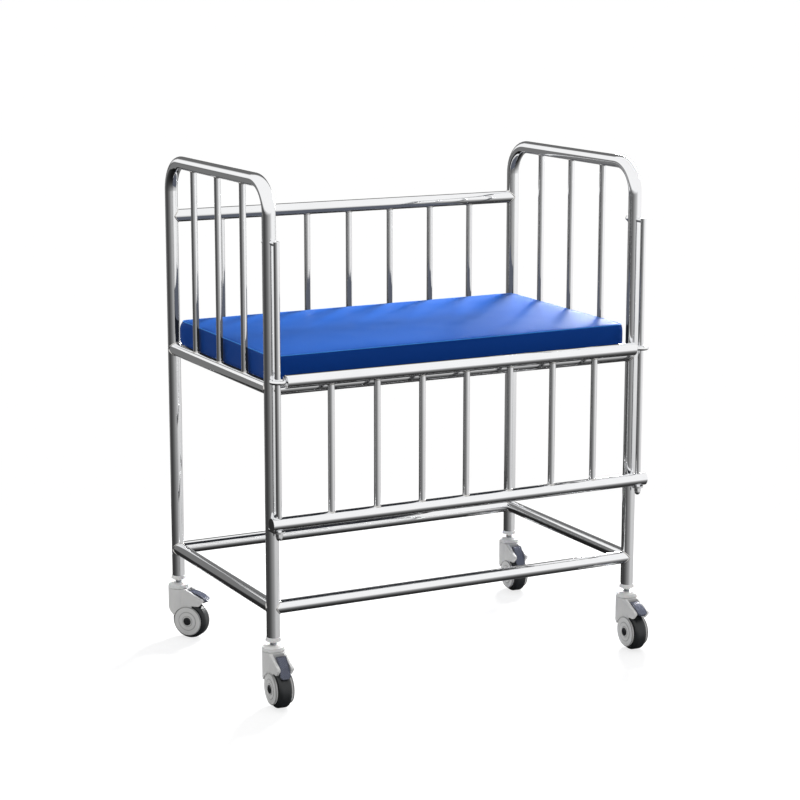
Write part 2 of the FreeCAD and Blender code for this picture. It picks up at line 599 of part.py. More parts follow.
def gate_end_caps():
    """A disc with a short plug in each end of both gate rails."""
    body = new_body("gate_end_caps")
    features = []
    for name, length, height in (("low", "gate_low_length", "0"),
                                 ("high", "gate_high_length", "(gate_high_z - gate_low_z)")):
        disc = new_sketch(body, f"{name}_disc", "YZ_Plane", lift=f"{length} / 2 - cap_thick")
        circle(disc, "0", height, "tube_d")
        features.append(pad(body, disc, "cap_thick"))
        plug = new_sketch(body, f"{name}_plug", "YZ_Plane", lift=f"{length} / 2 - cap_thick")
        circle(plug, "0", height, TUBE_BORE)
        features.append(pad(body, plug, "cap_plug", backward=True))
    mirror(body, features, "YZ_Plane")
    place(body, back=ROD_Y, up="gate_low_z")


def gate_eyes():
    """A ring round each rod, ground flat where it is welded to the top rail's end."""
    body = new_body("gate_eyes")
    ring = new_sketch(body, "ring", "XZ_Plane")
    circle(ring, "leg_span_x / 2 + eye_ring_d / 2", "0", "eye_bar_d")
    middle = value("leg_span_x / 2")
    line = Part.LineSegment(FreeCAD.Vector(middle, 0), FreeCAD.Vector(middle, value("eye_bar_d")))
    axis = ring.addGeometry(line, True)
    pin_point(ring, axis, 1, "leg_span_x / 2", "0")
    pin_point(ring, axis, 2, "leg_span_x / 2", "eye_bar_d")
    features = [revolve(body, ring, axis="Axis0")]
    flat = new_sketch(body, "flat", "XZ_Plane")
    outer = "gate_high_length / 2"
    outline(flat, [(f"{outer} - eye_bar_d", "-eye_bar_d"), (outer, "-eye_bar_d"),
                   (outer, "eye_bar_d"), (f"{outer} - eye_bar_d", "eye_bar_d")])
    features.append(pocket(body, flat))
    mirror(body, features, "YZ_Plane")
    place(body, back=ROD_Y, up="gate_high_z + eye_rise")


def gate():
    gate_rail("gate_top_rail", "gate_high_length", "gate_high_z")
    gate_rail("gate_bottom_rail", "gate_low_length", "gate_low_z", rod_holes=True)
    bar_row("gate_slats", "gate_count", "gate_pitch", "(gate_high_z - gate_low_z)",
            "slat_d", "slat_wall", back=ROD_Y, up="gate_low_z")
    gate_eyes()
    gate_end_caps()


# ---- what each caster hangs from: four turned pieces, one at the foot of each leg ----

def four_turned(name, half_section):
    """A turned piece under the left front leg, repeated under the other three."""
    body = new_body(name)
    sketch = new_sketch(body, "half_section", "XZ_Plane")
    outline(sketch, half_section)
    turned = revolve(body, sketch)
    pattern(body, [turned], "X_Axis", "2", "leg_span_x", second=("Y_Axis", "2", "leg_span_y"))
    place(body, across=END_X["left"], back=LEG_Y["front"])


def caster_mountings():
    stem = "stem_d / 2"
    flange = "socket_flange_d / 2"
    plug = "tube_d / 2 - tube_wall"
    four_turned("leg_sockets", [
        (stem, "socket_low_z"), ("socket_foot_d / 2", "socket_low_z"), (flange, "flange_low_z"),
        (f"{flange} - socket_taper", "leg_bottom_z"),
        (plug, "leg_bottom_z"), (plug, "leg_bottom_z + socket_plug"), (stem, "leg_bottom_z + socket_plug")])
    stem_top = "leg_bottom_z + stem_above"
    four_turned("caster_stems", [
        ("0", "stem_low_z"), (stem, "stem_low_z"), (stem, "cap_top_z"), ("collar_d / 2", "cap_top_z"),
        ("collar_d / 2", "socket_low_z"), (stem, "socket_low_z"), (stem, stem_top), ("0", stem_top)])
    rim = "cap_d / 2"
    hub = "cap_hub_d / 2"
    rim_top = "cap_low_z + cap_rim"
    band_top = "cap_low_z + cap_band"
    four_turned("caster_caps", [
        (stem, "cap_low_z"), (hub, "cap_low_z"), (hub, "cap_top_z - 2 * cap_wall"),
        (f"{rim} - cap_wall", f"{rim_top} - cap_wall"), (f"{rim} - cap_wall", "cap_low_z"),
        (rim, "cap_low_z"), (rim, band_top), (f"{rim} - cap_step", band_top),
        (f"{rim} - cap_step", rim_top), ("cap_top_d / 2", "cap_top_z"), (stem, "cap_top_z")])
    bearing_low = "fork_top_z - bearing_high"
    four_turned("swivel_bearings", [
        (stem, bearing_low), ("bearing_d / 2", bearing_low), ("bearing_d / 2", "fork_top_z"),
        (hub, "cap_low_z"), (stem, "cap_low_z")])


# ---- the casters: +X of each one's own frame runs from its swivel axis to its axle ----

def place_on_caster(body, corner, forward="0", up="0", tilt="0"):
    """Put a body at a place in one caster's own frame."""
    side, face = CORNERS[corner]
    turn = f"{corner}_trail"
    across = f"frame_x + {END_X[side]} + {forward} * cos({turn})"
    back = f"frame_y + {LEG_Y[face]} + {forward} * sin({turn})"
    bind(body, "Placement", f"placement(vector({across}; {back}; {up}); rotation({turn}; {tilt}; 0))")


CORNERS = {
    "left_front": ("left", "front"),
    "right_front": ("right", "front"),
    "left_rear": ("left", "back"),
    "right_rear": ("right", "back"),
}


def fork(corner):
    """The moulded fork: two wings beside the pedal, a round neck and two cheeks about the axle."""
    body = new_body(f"{corner}_fork")
    neck = "fork_neck_d / 2"
    wings = new_sketch(body, "wings", "XZ_Plane")
    outline(wings, [("0", "fork_top_z"), (neck, "fork_top_z"), ("wing_tip_x", "wing_tip_z"),
                    ("wing_heel_x", "wing_heel_z"), ("trail + wing_root", "wing_heel_z"), ("trail", "axle_z"),
                    ("throat_x", "throat_z")])
    pad(body, wings, "fork_width", midplane=True)
    fillet(body, across_at(("wing_tip_x", "wing_tip_z"), ("wing_heel_x", "wing_heel_z")), "wing_round")
    fillet(body, across_at((neck, "fork_top_z")), "brow_round")
    fillet(body, fork_outer_edge, "fork_edge")

    column = new_sketch(body, "neck", "XY_Plane", lift="throat_z")
    circle(column, "0", "0", "fork_neck_d")
    pad(body, column, "fork_top_z - throat_z")
    under = new_sketch(body, "under_neck", "XZ_Plane")
    outline(under, [(negative(neck), "fork_back_z"), ("throat_x", "throat_z"),
                    ("throat_x", "throat_z - stem_d"), ("-fork_neck_d", "throat_z - stem_d"),
                    ("-fork_neck_d", "fork_back_z")])
    pocket(body, under)
    cheeks = new_sketch(body, "cheeks", "XZ_Plane")
    circle(cheeks, "trail", "axle_z", "fork_cheek_d")
    pad(body, cheeks, "fork_width", midplane=True)
    for name, lift, outward in (("left", "fork_width / 2", True), ("right", "-fork_width / 2", False)):
        seat = new_sketch(body, f"{name}_cover_seat", "XZ_Plane", lift=lift)
        circle(seat, "trail", "axle_z", "cover_d + 2 * cover_gap")
        pocket(body, seat, length="fork_neck_d / 2", along_normal=outward)

    arch = new_sketch(body, "wheel_arch", "XZ_Plane")
    circle(arch, "trail", "axle_z", "fork_slot_d")
    pocket(body, arch, length="fork_slot", both_ways=True)
    slot = new_sketch(body, "pedal_slot", "XZ_Plane")
    beyond = "wing_tip_x + fork_neck_d"
    outline(slot, [("pedal_slot_x", "axle_z"), (beyond, "axle_z"), (beyond, "fork_top_z"),
                   ("pedal_slot_x", "fork_top_z")])
    pocket(body, slot, length="pedal_slot", both_ways=True)
    pins = new_sketch(body, "pin_holes", "XZ_Plane")
    circle(pins, "trail", "axle_z", "axle_d")
    circle(pins, "pedal_x", "pedal_z", "pedal_pin_d")
    pocket(body, pins)
    bore = new_sketch(body, "stem_bore", "XY_Plane", lift="fork_top_z")
    circle(bore, "0", "0", "stem_d + 2 * pin_fit")
    pocket(body, bore, length="fork_top_z - stem_low_z + neck_bore_end")
    seat = new_sketch(body, "bearing_seat", "XY_Plane", lift="fork_top_z")
    circle(seat, "0", "0", "bearing_d + 2 * swivel_gap")
    pocket(body, seat, length="bearing_high + swivel_gap")
    place_on_caster(body, corner)


def across_at(*places):
    """Tests an edge: it runs along the axle's direction at one of these places, seen from the side."""
    spots = [(value(forward), value(up)) for forward, up in places]

    def wanted(edge):
        box = edge.BoundBox
        offs = [abs(box.Center.x - forward) + abs(box.Center.z - up) for forward, up in spots]
        return box.XLength + box.ZLength < value("pin_fit") and min(offs) < value("pin_fit")
    return wanted


def fork_outer_edge(edge):
    """Tests an edge of the bare wings: it bounds a side face, above and in front of the cheeks."""
    box = edge.BoundBox
    return box.YLength < value("pin_fit") and box.Center.z > value("wing_heel_z - pin_fit") \
        and box.XMin > value("fork_neck_d / 4")


def side_covers(corner):
    """A thin disc over each cheek, with a raised ring and a boss under the axle's head."""
    body = new_body(f"{corner}_side_covers")
    inner = "fork_width / 2"
    outer = f"({inner} + cover_thick)"
    rim = "cover_d / 2"
    boss = "cover_boss_d / 2"
    ring_out = "cover_ridge_d / 2"
    ring_in = f"{ring_out} - cover_ridge_wide"
    sketch = new_sketch(body, "half_section", "XY_Plane")
    ridge = f"{outer} + cover_ridge_high"
    outline(sketch, [("axle_d / 2", inner), (f"{rim} - cover_seam", inner), (rim, f"{inner} + cover_seam"),
                     (rim, f"{outer} - cover_edge"), (f"{rim} - cover_edge", outer), (ring_out, outer),
                     (ring_out, ridge), (ring_in, ridge), (ring_in, outer), (boss, outer),
                     (boss, "head_seat"), ("axle_d / 2", "head_seat")])
    turned = revolve(body, sketch)
    mirror(body, [turned], "XZ_Plane")
    place_on_caster(body, corner, forward="trail", up="axle_z")


def both_sides(half_section):
    """A half section, given for one side of the wheel, with its mirror image on the other."""
    return half_section + [(radius, negative(along)) for radius, along in reversed(half_section)]


def axle(corner):
    """The axle, with a button head on each side cover."""
    body = new_body(f"{corner}_axle")
    head = "axle_head_d / 2"
    sketch = new_sketch(body, "half_section", "XY_Plane")
    outline(sketch, both_sides([("0", "axle_reach"), ("head_flat", "axle_reach"),
                                (head, "axle_reach - axle_crown"), (head, "head_seat"),
                                ("axle_d / 2", "head_seat")]))
    revolve(body, sketch)
    place_on_caster(body, corner, forward="trail", up="axle_z")


def hub(corner):
    """The wheel: a bored boss, a web and a rim for the tyre."""
    body = new_body(f"{corner}_hub")
    boss = "hub_boss_d / 2"
    rim = "tyre_bore / 2 - hub_rim"
    sketch = new_sketch(body, "half_section", "XY_Plane")
    outline(sketch, both_sides([("axle_d / 2 + pin_fit", "hub_length / 2"), (boss, "hub_length / 2"),
                                (boss, "hub_web / 2"), (rim, "hub_web / 2"), (rim, "hub_rim_width / 2"),
                                ("tyre_bore / 2", "hub_rim_width / 2")]))
    revolve(body, sketch)
    place_on_caster(body, corner, forward="trail", up="axle_z")


def tyre(corner):
    """The round-shouldered tyre."""
    body = new_body(f"{corner}_tyre")
    sketch = new_sketch(body, "half_section", "XY_Plane")
    outline(sketch, both_sides([("tyre_bore / 2", "tyre_width / 2"), ("wheel_d / 2", "tyre_width / 2")]))
    revolve(body, sketch)
    fillet(body, lambda edge: edge.BoundBox.XLength > value("wheel_d - pin_fit"), "tyre_round")
    place_on_caster(body, corner, forward="trail", up="axle_z")


def pedal(corner):
    """The brake pedal: a rocking plate bent round the wheel, a boss on its pin and a shoe over the tyre."""
    body = new_body(f"{corner}_pedal")
    ring = new_sketch(body, "plate", "XZ_Plane")
    circle(ring, "-pedal_ahead", "axle_z - pedal_z", "2 * pedal_arc")
    circle(ring, "-pedal_ahead", "axle_z - pedal_z", "2 * pedal_arc - 2 * pedal_thick")
    pad(body, ring, "pedal_width", midplane=True)
    ends = new_sketch(body, "ends", "XZ_Plane")
    beyond = "2 * pedal_arc"
    outline(ends, [on_pedal_arc("0", "0"), on_pedal_arc(beyond, "pedal_tip_turn"),
                   on_pedal_arc(beyond, "0"), on_pedal_arc(beyond, "-90"), on_pedal_arc(beyond, "180"),
                   on_pedal_arc(beyond, "pedal_back_turn")])
    pocket(body, ends)
    fillet(body, pedal_tip_edge, "pedal_round")
    boss = new_sketch(body, "boss", "XZ_Plane")
    circle(boss, "0", "0", "pedal_boss_d")
    pad(body, boss, "pedal_width", midplane=True)
    taper = new_sketch(body, "taper", "XY_Plane")
    edge = "pedal_width / 2"
    for mirrored in (str, negative):
        outer = mirrored("pedal_width")
        back_edge = mirrored(f"{edge} - pedal_taper")
        outline(taper, [("-pedal_back_x", back_edge), ("pedal_front_x", mirrored(edge)),
                        ("pedal_front_x", outer), ("-pedal_back_x", outer)])
    pocket(body, taper)
    shoe = new_sketch(body, "shoe", "XZ_Plane")
    outline(shoe, [shoe_corner(side, reach) for side, reach in
                   ((-1, "-web_reach"), (1, "-web_reach"), (1, "shoe_reach"), (-1, "shoe_reach"))])
    pad(body, shoe, "shoe_width", midplane=True)
    bore = new_sketch(body, "bore", "XZ_Plane")
    circle(bore, "0", "0", "pedal_pin_d + 2 * pin_fit")
    pocket(body, bore)
    place_on_caster(body, corner, forward="pedal_x", up="pedal_z", tilt=f"{corner}_tilt")


def on_pedal_arc(radius, turn):
    """A place at this distance from the axle and this many degrees from the level, seen from the pivot."""
    return f"{radius} * cos({turn}) - pedal_ahead", f"{radius} * sin({turn}) + axle_z - pedal_z"


def pedal_tip_edge(edge):
    """Tests an edge of the bare plate: a short upright one at a corner of the tip."""
    box = edge.BoundBox
    return box.YLength < value("pin_fit") and box.Center.x > value("pedal_front_x - pedal_thick") \
        and edge.Length < value("pedal_thick + pin_fit")


def shoe_corner(side, reach):
    """One corner of the leaning shoe: on its front or back face, this far from the pivot."""
    return (f"{side} * shoe_thick / 2 * cos(shoe_lean) + {reach} * sin(shoe_lean)",
            f"{side} * shoe_thick / 2 * sin(shoe_lean) - {reach} * cos(shoe_lean)")


def pedal_pin(corner):
    body = new_body(f"{corner}_pedal_pin")
    sketch = new_sketch(body, "section", "XZ_Plane")
    circle(sketch, "0", "0", "pedal_pin_d")
    pad(body, sketch, "fork_width - pedal_pin_short", midplane=True)
    place_on_caster(body, corner, forward="pedal_x", up="pedal_z")


# ---- build, check and write ----

frame()
mattress()
guide_rods()
rod_pins()
rod_lugs()
dome_nuts("pin_nuts", NUT_TO_BACK, back="(-leg_span_y / 2 + tube_d / 2)", up="pin_z")
dome_nuts("lug_nuts", NUT_DOWN, back=ROD_Y, up="rod_seat_z - lug_thick")
gate()
caster_mountings()
for corner in CORNERS:
    for make in (fork, side_covers, axle, hub, tyre, pedal, pedal_pin):
        make(corner)
doc.recompute()

for item in doc.Objects:
    if "Invalid" in item.State or "Error" in item.State:
        raise RuntimeError(f"{item.Label} failed: {item.State}")
for body in NODES:
    if body.Shape.isNull() or not body.Shape.isValid() or not body.Shape.Solids:
        raise RuntimeError(f"{body.Label} has no valid solid")

os.makedirs("parts", exist_ok=True)
for body in NODES:
    body.Shape.exportStep(f"parts/{body.Label}.step")
print(f"{len(NODES)} pieces written")
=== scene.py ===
"""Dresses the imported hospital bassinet: polished steel tube, coated mattress and moulded casters."""
import json
import math

import bmesh
import bpy
from mathutils import Matrix, Vector, noise
from mathutils.bvhtree import BVHTree


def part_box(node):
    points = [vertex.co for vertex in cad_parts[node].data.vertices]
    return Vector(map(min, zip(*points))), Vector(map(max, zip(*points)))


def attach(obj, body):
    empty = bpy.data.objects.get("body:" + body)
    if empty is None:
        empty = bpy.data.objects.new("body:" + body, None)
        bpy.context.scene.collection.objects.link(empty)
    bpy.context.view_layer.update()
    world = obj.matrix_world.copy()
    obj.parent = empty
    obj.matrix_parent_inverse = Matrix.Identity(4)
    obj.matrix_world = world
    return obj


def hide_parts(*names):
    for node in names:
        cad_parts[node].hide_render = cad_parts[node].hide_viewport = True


bl_info = {
    "name": "Hospital Bassinet Finish",
    "version": (1, 0, 0),
    "blender": (4, 5, 0),
    "location": "View3D > Sidebar > Bassinet",
    "description": "Finishes, welds, mattress, pedal treads and studio for a steel hospital bassinet",
    "category": "Object",
}

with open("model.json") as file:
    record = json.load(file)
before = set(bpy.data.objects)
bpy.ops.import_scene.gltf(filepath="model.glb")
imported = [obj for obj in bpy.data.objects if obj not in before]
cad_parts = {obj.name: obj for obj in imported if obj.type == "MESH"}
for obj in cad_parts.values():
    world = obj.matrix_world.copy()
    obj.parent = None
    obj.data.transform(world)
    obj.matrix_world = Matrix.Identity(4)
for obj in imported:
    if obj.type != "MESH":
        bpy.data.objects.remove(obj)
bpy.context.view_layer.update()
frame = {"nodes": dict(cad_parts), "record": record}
MM = 0.001
SEED = 7

CORNERS = ("left_front", "right_front", "left_rear", "right_rear")
SLAT_COUNTS = {"back_slats": 7, "gate_slats": 7, "left_end_slats": 3, "right_end_slats": 3}
DECK_BAR_COUNT = 4

# Fixed finishes, which a user has no need to change.
WELD_STRAW = (0.78, 0.74, 0.68)
PLATED_STEEL = (0.32, 0.33, 0.35)
BLACK_PLASTIC = (0.018, 0.019, 0.021)
SHEEN_TINT = (0.25, 0.7, 1, 1)
# How much lighter the pedal's diamonds are painted: a painted highlight on their raised tops.
TREAD_HIGHLIGHT_LIGHTER = 2.2

# Weld beads. The ease keeps a bead off the crossing tube's very edge where both tubes are equally wide.
BEAD_SIDES = 8
SADDLE_EASE = 0.985

# The foam block: its grid, which crowds toward the edges, its round corners and edges, how far its sides
# are drawn in, and how far its top stands up in the middle, and more toward the right and the back.
FOAM_GRID = (96, 60, 10)
FOAM_CROWDING = 1.12
FOAM_CORNER = 15 * MM
FOAM_EDGE = 3.5 * MM
FOAM_DRAWN_IN = 1.2 * MM
FOAM_INSET = 2.0 * MM
FOAM_RISE, FOAM_RISE_RIGHT, FOAM_RISE_BACK = 1.6 * MM, 1.4 * MM, 1.2 * MM
FOAM_UNEVEN = 0.5 * MM
UNEVEN_SCALE = 16

# The cover: the width of its sewn rims, its inside pressure, the room it may fill beyond the foam, and how
# far its welts stand off it.
SEWN_WIDTH = 2.2 * FOAM_EDGE
COVER_PRESSURE = 4
COVER_FRAMES = 20
COVER_ROOM = 1.6 * MM
WELT_LIFT = 0.2 * MM

# How far each end of the mattress is pushed out past the last slat, at its front and at its back. The push
# grows from one share of the half width over another, and reaches some way in from the end.
END_PUSH = {"left": (2.5 * MM, 6.5 * MM), "right": (3 * MM, 3 * MM)}
END_FROM, END_OVER = 0.7, 0.2
END_REACH = 18 * MM

# Painted shade in the grooves of a side cover: radius, width, and the tone of the shade painted in them.
COVER_GROOVE_SHADES = ((10.9 * MM, 1.2 * MM, 0.55), (19.2 * MM, 1.3 * MM, 0.5), (29.9 * MM, 1.6 * MM, 0.35))

# The top of a raised pedal is an arc about the axle, between two angles above the way ahead. It is looked
# for from a little outside, and a point too far off the arc is off the top.
PEDAL_ARC = 60.7 * MM
PEDAL_TURNS = (49, 89)
LOOK_FROM = 4 * MM
OFF_ARC = 0.4 * MM

# The diamonds: columns to each side of the middle, half width as a share of the pitch, and how far
# their rims sink in.
TREAD_COLUMNS = 6
TREAD_REACH = 0.42
TREAD_SUNK = 0.05 * MM

# The painted reflection in the polished tube, as (place, tone) stops. A place runs from 0 (away) to 1
# straight along).
DOWNWARD_TONES = (
    (0.06, 0.035), (0.11, 0.07), (0.17, 0.13), (0.25, 0.25), (0.32, 0.45), (0.38, 0.66), (0.44, 1.0))
SIDE_TONES = ((0.0, 0.06), (0.07, 0.12), (0.2, 0.2), (0.42, 0.4), (0.6, 0.5), (0.74, 0.75), (0.85, 1.0))
ABOVE_TONES = ((0.48, 0), (0.54, 1))
UPPER_PATCH_TONES = ((0.925, 1), (0.955, 0.15))
LOWER_PATCH_TONES = ((0.89, 1), (0.95, 0.22))
BRIGHT_SIDE = (0.955, -0.298, 0)
UPPER_PATCH = (0.35, 0.87, 0.33)
LOWER_PATCH = (-0.1, 0.85, -0.5)

# The tones of the glowing cards that paint reflections in the polished tube, and the floor's: what it
# throws back on the crib, and, where it is seen, what takes the shadows and what glows by itself.
REFLECTION_CARD_DARK = (0.012, 0.014, 0.02)
REFLECTION_CARD_GREY = (0.11, 0.12, 0.15)
REFLECTION_CARD_LOW = (0.19, 0.19, 0.19)
FLOOR_BOUNCE = (0.5, 0.5, 0.5)
FLOOR_SHADED = (0.3, 0.3, 0.3)
FLOOR_GLOW = (0.77, 0.77, 0.77)
FLOOR_REACH = 90
LAMP_SPREAD = math.radians(75)
SENSOR_WIDTH = 36


# ---- places read from the frame ----

def corners_of(node):
    """Lowest and highest corner of a CAD node, as vectors."""
    low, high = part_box(node)
    return Vector(low), Vector(high)


def middle_of(node):
    """Middle of a CAD node's box."""
    low, high = corners_of(node)
    return (low + high) / 2


def joint_of(name):
    """A joint's row in the record."""
    return next(joint for joint in frame["record"]["behaviour"]["joints"] if joint["name"] == name)


RAIL_RADIUS = (corners_of("back_top_rail")[1].z - corners_of("back_top_rail")[0].z) / 2
SLAT_RADIUS = (corners_of("back_slats")[1].y - corners_of("back_slats")[0].y) / 2
DECK_RADIUS = (corners_of("deck_bars")[1].z - corners_of("deck_bars")[0].z) / 2
MATTRESS_LOW, MATTRESS_HIGH = corners_of("mattress")
LEG_X = {"left": middle_of("left_end_hoop").x, "right": middle_of("right_end_hoop").x}
HOOP_LOW, HOOP_HIGH = corners_of("left_end_hoop")
LEG_Y = {"front": HOOP_LOW.y + RAIL_RADIUS, "back": HOOP_HIGH.y - RAIL_RADIUS}
HOOP_TOP = HOOP_HIGH.z - RAIL_RADIUS
FOAM_LEFT = corners_of("left_end_slats")[1].x + FOAM_INSET
FOAM_RIGHT = corners_of("right_end_slats")[0].x - FOAM_INSET
FOAM_LOW = Vector((FOAM_LEFT, MATTRESS_LOW.y + FOAM_INSET, MATTRESS_LOW.z))
FOAM_HIGH = Vector((FOAM_RIGHT, MATTRESS_HIGH.y - FOAM_INSET, MATTRESS_HIGH.z))
FOAM_HALF = (FOAM_HIGH - FOAM_LOW) / 2
FOAM_MIDDLE = (FOAM_HIGH + FOAM_LOW) / 2
X, Y, Z = 0, 1, 2
X_AXIS, Y_AXIS, Z_AXIS = Vector((1, 0, 0)), Vector((0, 1, 0)), Vector((0, 0, 1))


# ---- what a user would change ----

class BassinetFinish(bpy.types.PropertyGroup):
    steel: bpy.props.FloatVectorProperty(
        name="Steel", description="Colour of the polished tube", subtype="COLOR",
        default=(0.90, 0.905, 0.915), min=0, max=1)
    steel_roughness: bpy.props.FloatProperty(
        name="Steel Roughness", description="How blurred the tube's reflections are",
        default=0.055, min=0, max=1)
    mattress: bpy.props.FloatVectorProperty(
        name="Mattress", description="Colour of the mattress cover", subtype="COLOR",
        default=(0.0, 0.05, 0.31), min=0, max=1)
    # A painted highlight: a lighter blue on the sewn top rim stands in for the light along the mattress's
    # top edge.
    mattress_rim_highlight: bpy.props.FloatVectorProperty(
        name="Mattress Rim Highlight", description="Colour of the sewn rim round the mattress's top", subtype="COLOR",
        default=(0.05, 0.24, 0.72), min=0, max=1)
    white_plastic: bpy.props.FloatVectorProperty(
        name="White Plastic", description="Colour of the caster caps and leg sockets", subtype="COLOR",
        default=(0.93, 0.93, 0.92), min=0, max=1)
    grey_plastic: bpy.props.FloatVectorProperty(
        name="Grey Plastic", description="Colour of the caster forks and covers", subtype="COLOR",
        default=(0.80, 0.80, 0.79), min=0, max=1)
    pedal: bpy.props.FloatVectorProperty(
        name="Pedal", description="Colour of the brake pedals", subtype="COLOR",
        default=(0.07, 0.078, 0.11), min=0, max=1)
    tyre: bpy.props.FloatVectorProperty(
        name="Tyre", description="Colour of the tyres", subtype="COLOR",
        default=(0.016, 0.018, 0.02), min=0, max=1)


class BassinetSizes(bpy.types.PropertyGroup):
    weld_radius: bpy.props.FloatProperty(
        name="Weld Bead", description="Radius of the weld bead round each joint", default=1.3 * MM,
        min=0.2 * MM, max=4 * MM, subtype="DISTANCE", unit="LENGTH")
    mattress_crown: bpy.props.FloatProperty(
        name="Mattress Crown", description="How far the cover swells from the foam at most",
        default=3.5 * MM, min=0.5 * MM, max=8 * MM, subtype="DISTANCE", unit="LENGTH")
    welt_radius: bpy.props.FloatProperty(
        name="Mattress Welt", description="Radius of the sewn rim round the mattress", default=1.1 * MM,
        min=0.3 * MM, max=4 * MM, subtype="DISTANCE", unit="LENGTH")
    tread_pitch: bpy.props.FloatProperty(
        name="Tread Pitch", description="Spacing of the diamonds on the pedals", default=4.2 * MM,
        min=1 * MM, max=6 * MM, subtype="DISTANCE", unit="LENGTH")
    tread_height: bpy.props.FloatProperty(
        name="Tread Height", description="Height of the diamonds on the pedals", default=0.6 * MM,
        min=0.1 * MM, max=2 * MM, subtype="DISTANCE", unit="LENGTH")


class BassinetStudio(bpy.types.PropertyGroup):
    lens: bpy.props.FloatProperty(
        name="Lens", description="Focal length of the camera", default=100.4, min=10, max=300,
        subtype="DISTANCE_CAMERA", unit="CAMERA")
    azimuth: bpy.props.FloatProperty(
        name="Azimuth", description="Camera heading from straight at the gate", default=math.radians(27.32),
        subtype="ANGLE", unit="ROTATION")
    elevation: bpy.props.FloatProperty(
        name="Elevation", description="How far the camera looks down", default=math.radians(11.43),
        subtype="ANGLE", unit="ROTATION")
    roll: bpy.props.FloatProperty(
        name="Roll", description="Turn of the camera about its own line of sight",
        default=math.radians(0.045), subtype="ANGLE", unit="ROTATION")
    place: bpy.props.FloatVectorProperty(
        name="Camera Place", description="Where the camera stands", default=(-2.0285, -3.8990, 1.3973),
        subtype="TRANSLATION", unit="LENGTH")
    sun: bpy.props.FloatProperty(
        name="Sun", description="Strength of the wide sun", default=0.9, min=0, max=10)
    sun_softness: bpy.props.FloatProperty(
        name="Sun Softness", description="Width of the sun, which blurs its shadows",
        default=math.radians(60), min=0, subtype="ANGLE", unit="ROTATION")
    sun_side: bpy.props.FloatVectorProperty(
        name="Sun Side", description="Where the sun stands, seen from the crib", default=(0.2, 0.0, 1.0),
        subtype="DIRECTION")
    fill: bpy.props.FloatProperty(
        name="Fill", description="Strength of the plain light from all round", default=0.5, min=0, max=2)
    lamp_power: bpy.props.FloatProperty(
        name="Side Lamp", description="Power of the low soft box, which whitens the mattress's right end",
        default=8, min=0, unit="POWER")
    lamp_place: bpy.props.FloatVectorProperty(
        name="Side Lamp Place", description="Where the low soft box stands", default=(1.6, 1.35, 1.02),
        subtype="TRANSLATION", unit="LENGTH")
    top_lamp_power: bpy.props.FloatProperty(
        name="Top Lamp", description="Power of the upper soft box, which casts shadows on the mattress",
        default=24, min=0, unit="POWER")
    top_lamp_place: bpy.props.FloatVectorProperty(
        name="Top Lamp Place", description="Where the upper soft box stands", default=(1.38, 1.5, 1.75),
        subtype="TRANSLATION", unit="LENGTH")
    lamp_size: bpy.props.FloatProperty(
        name="Lamp Size", description="Width of both soft boxes, which blurs their shadows",
        default=0.4, min=0.05, subtype="DISTANCE", unit="LENGTH")


# ---- materials ----

def new_material(name):
    """A fresh node material: (material, nodes, links, its main shader)."""
    material = bpy.data.materials.new(name)
    material.use_nodes = True
    tree = material.node_tree
    return material, tree.nodes, tree.links, tree.nodes["Principled BSDF"]


def bare_material(name):
    """A material with an empty node tree: (material, nodes, links)."""
    material = bpy.data.materials.new(name)
    material.use_nodes = True
    material.node_tree.nodes.clear()
    return material, material.node_tree.nodes, material.node_tree.links


def operation_node(nodes, links, kind, operation, sources):
    """A math node of either kind, fed from sockets or plain values."""
    node = nodes.new(kind)
    node.operation = operation
    for source, socket in zip(sources, node.inputs):
        if isinstance(source, bpy.types.NodeSocket):
            links.new(source, socket)
        else:
            socket.default_value = source
    return node


def vector_math(nodes, links, operation, *sources):
    """A vector math node."""
    return operation_node(nodes, links, "ShaderNodeVectorMath", operation, sources)


def add_math(nodes, links, operation, *sources):
    """The result of a math node."""
    return operation_node(nodes, links, "ShaderNodeMath", operation, sources).outputs["Value"]


def add_bump(nodes, links, shader, height, strength, distance):
    """Bump on a shader from a height value."""
    bump = nodes.new("ShaderNodeBump")
    bump.inputs["Strength"].default_value = strength
    bump.inputs["Distance"].default_value = distance
    links.new(height, bump.inputs["Height"])
    links.new(bump.outputs["Normal"], shader.inputs["Normal"])


def add_noise(nodes, links, scale, detail=3.0, roughness=0.55, stretch=(1, 1, 1)):
    """Noise over the object's own coordinates, stretched along any axis."""
    place = nodes.new("ShaderNodeTexCoord")
    mapping = nodes.new("ShaderNodeMapping")
    mapping.inputs["Scale"].default_value = stretch
    texture = nodes.new("ShaderNodeTexNoise")
    texture.inputs["Scale"].default_value = scale
    texture.inputs["Detail"].default_value = detail
    texture.inputs["Roughness"].default_value = roughness
    links.new(place.outputs["Object"], mapping.inputs["Vector"])
    links.new(mapping.outputs["Vector"], texture.inputs["Vector"])
    return texture.outputs["Fac"]


def map_range(nodes, links, source, low, high, start=0.0, end=1.0):
    """A value that runs from low to high while its source runs from start to end."""
    ranger = nodes.new("ShaderNodeMapRange")
    ranger.inputs["From Min"].default_value = start
    ranger.inputs["From Max"].default_value = end
    ranger.inputs["To Min"].default_value = low
    ranger.inputs["To Max"].default_value = high
    links.new(source, ranger.inputs["Value"])
    return ranger.outputs["Result"]


def blend_colours(nodes, links, source, first, second):
    """A ramp from one colour to another, driven by a value."""
    ramp = nodes.new("ShaderNodeValToRGB")
    ramp.color_ramp.elements[0].color = (*first, 1)
    ramp.color_ramp.elements[1].color = (*second, 1)
    links.new(source, ramp.inputs["Fac"])
    return ramp.outputs["Color"]


def shade(colour, factor):
    """A colour made darker or lighter."""
    return tuple(min(1, channel * factor) for channel in colour)


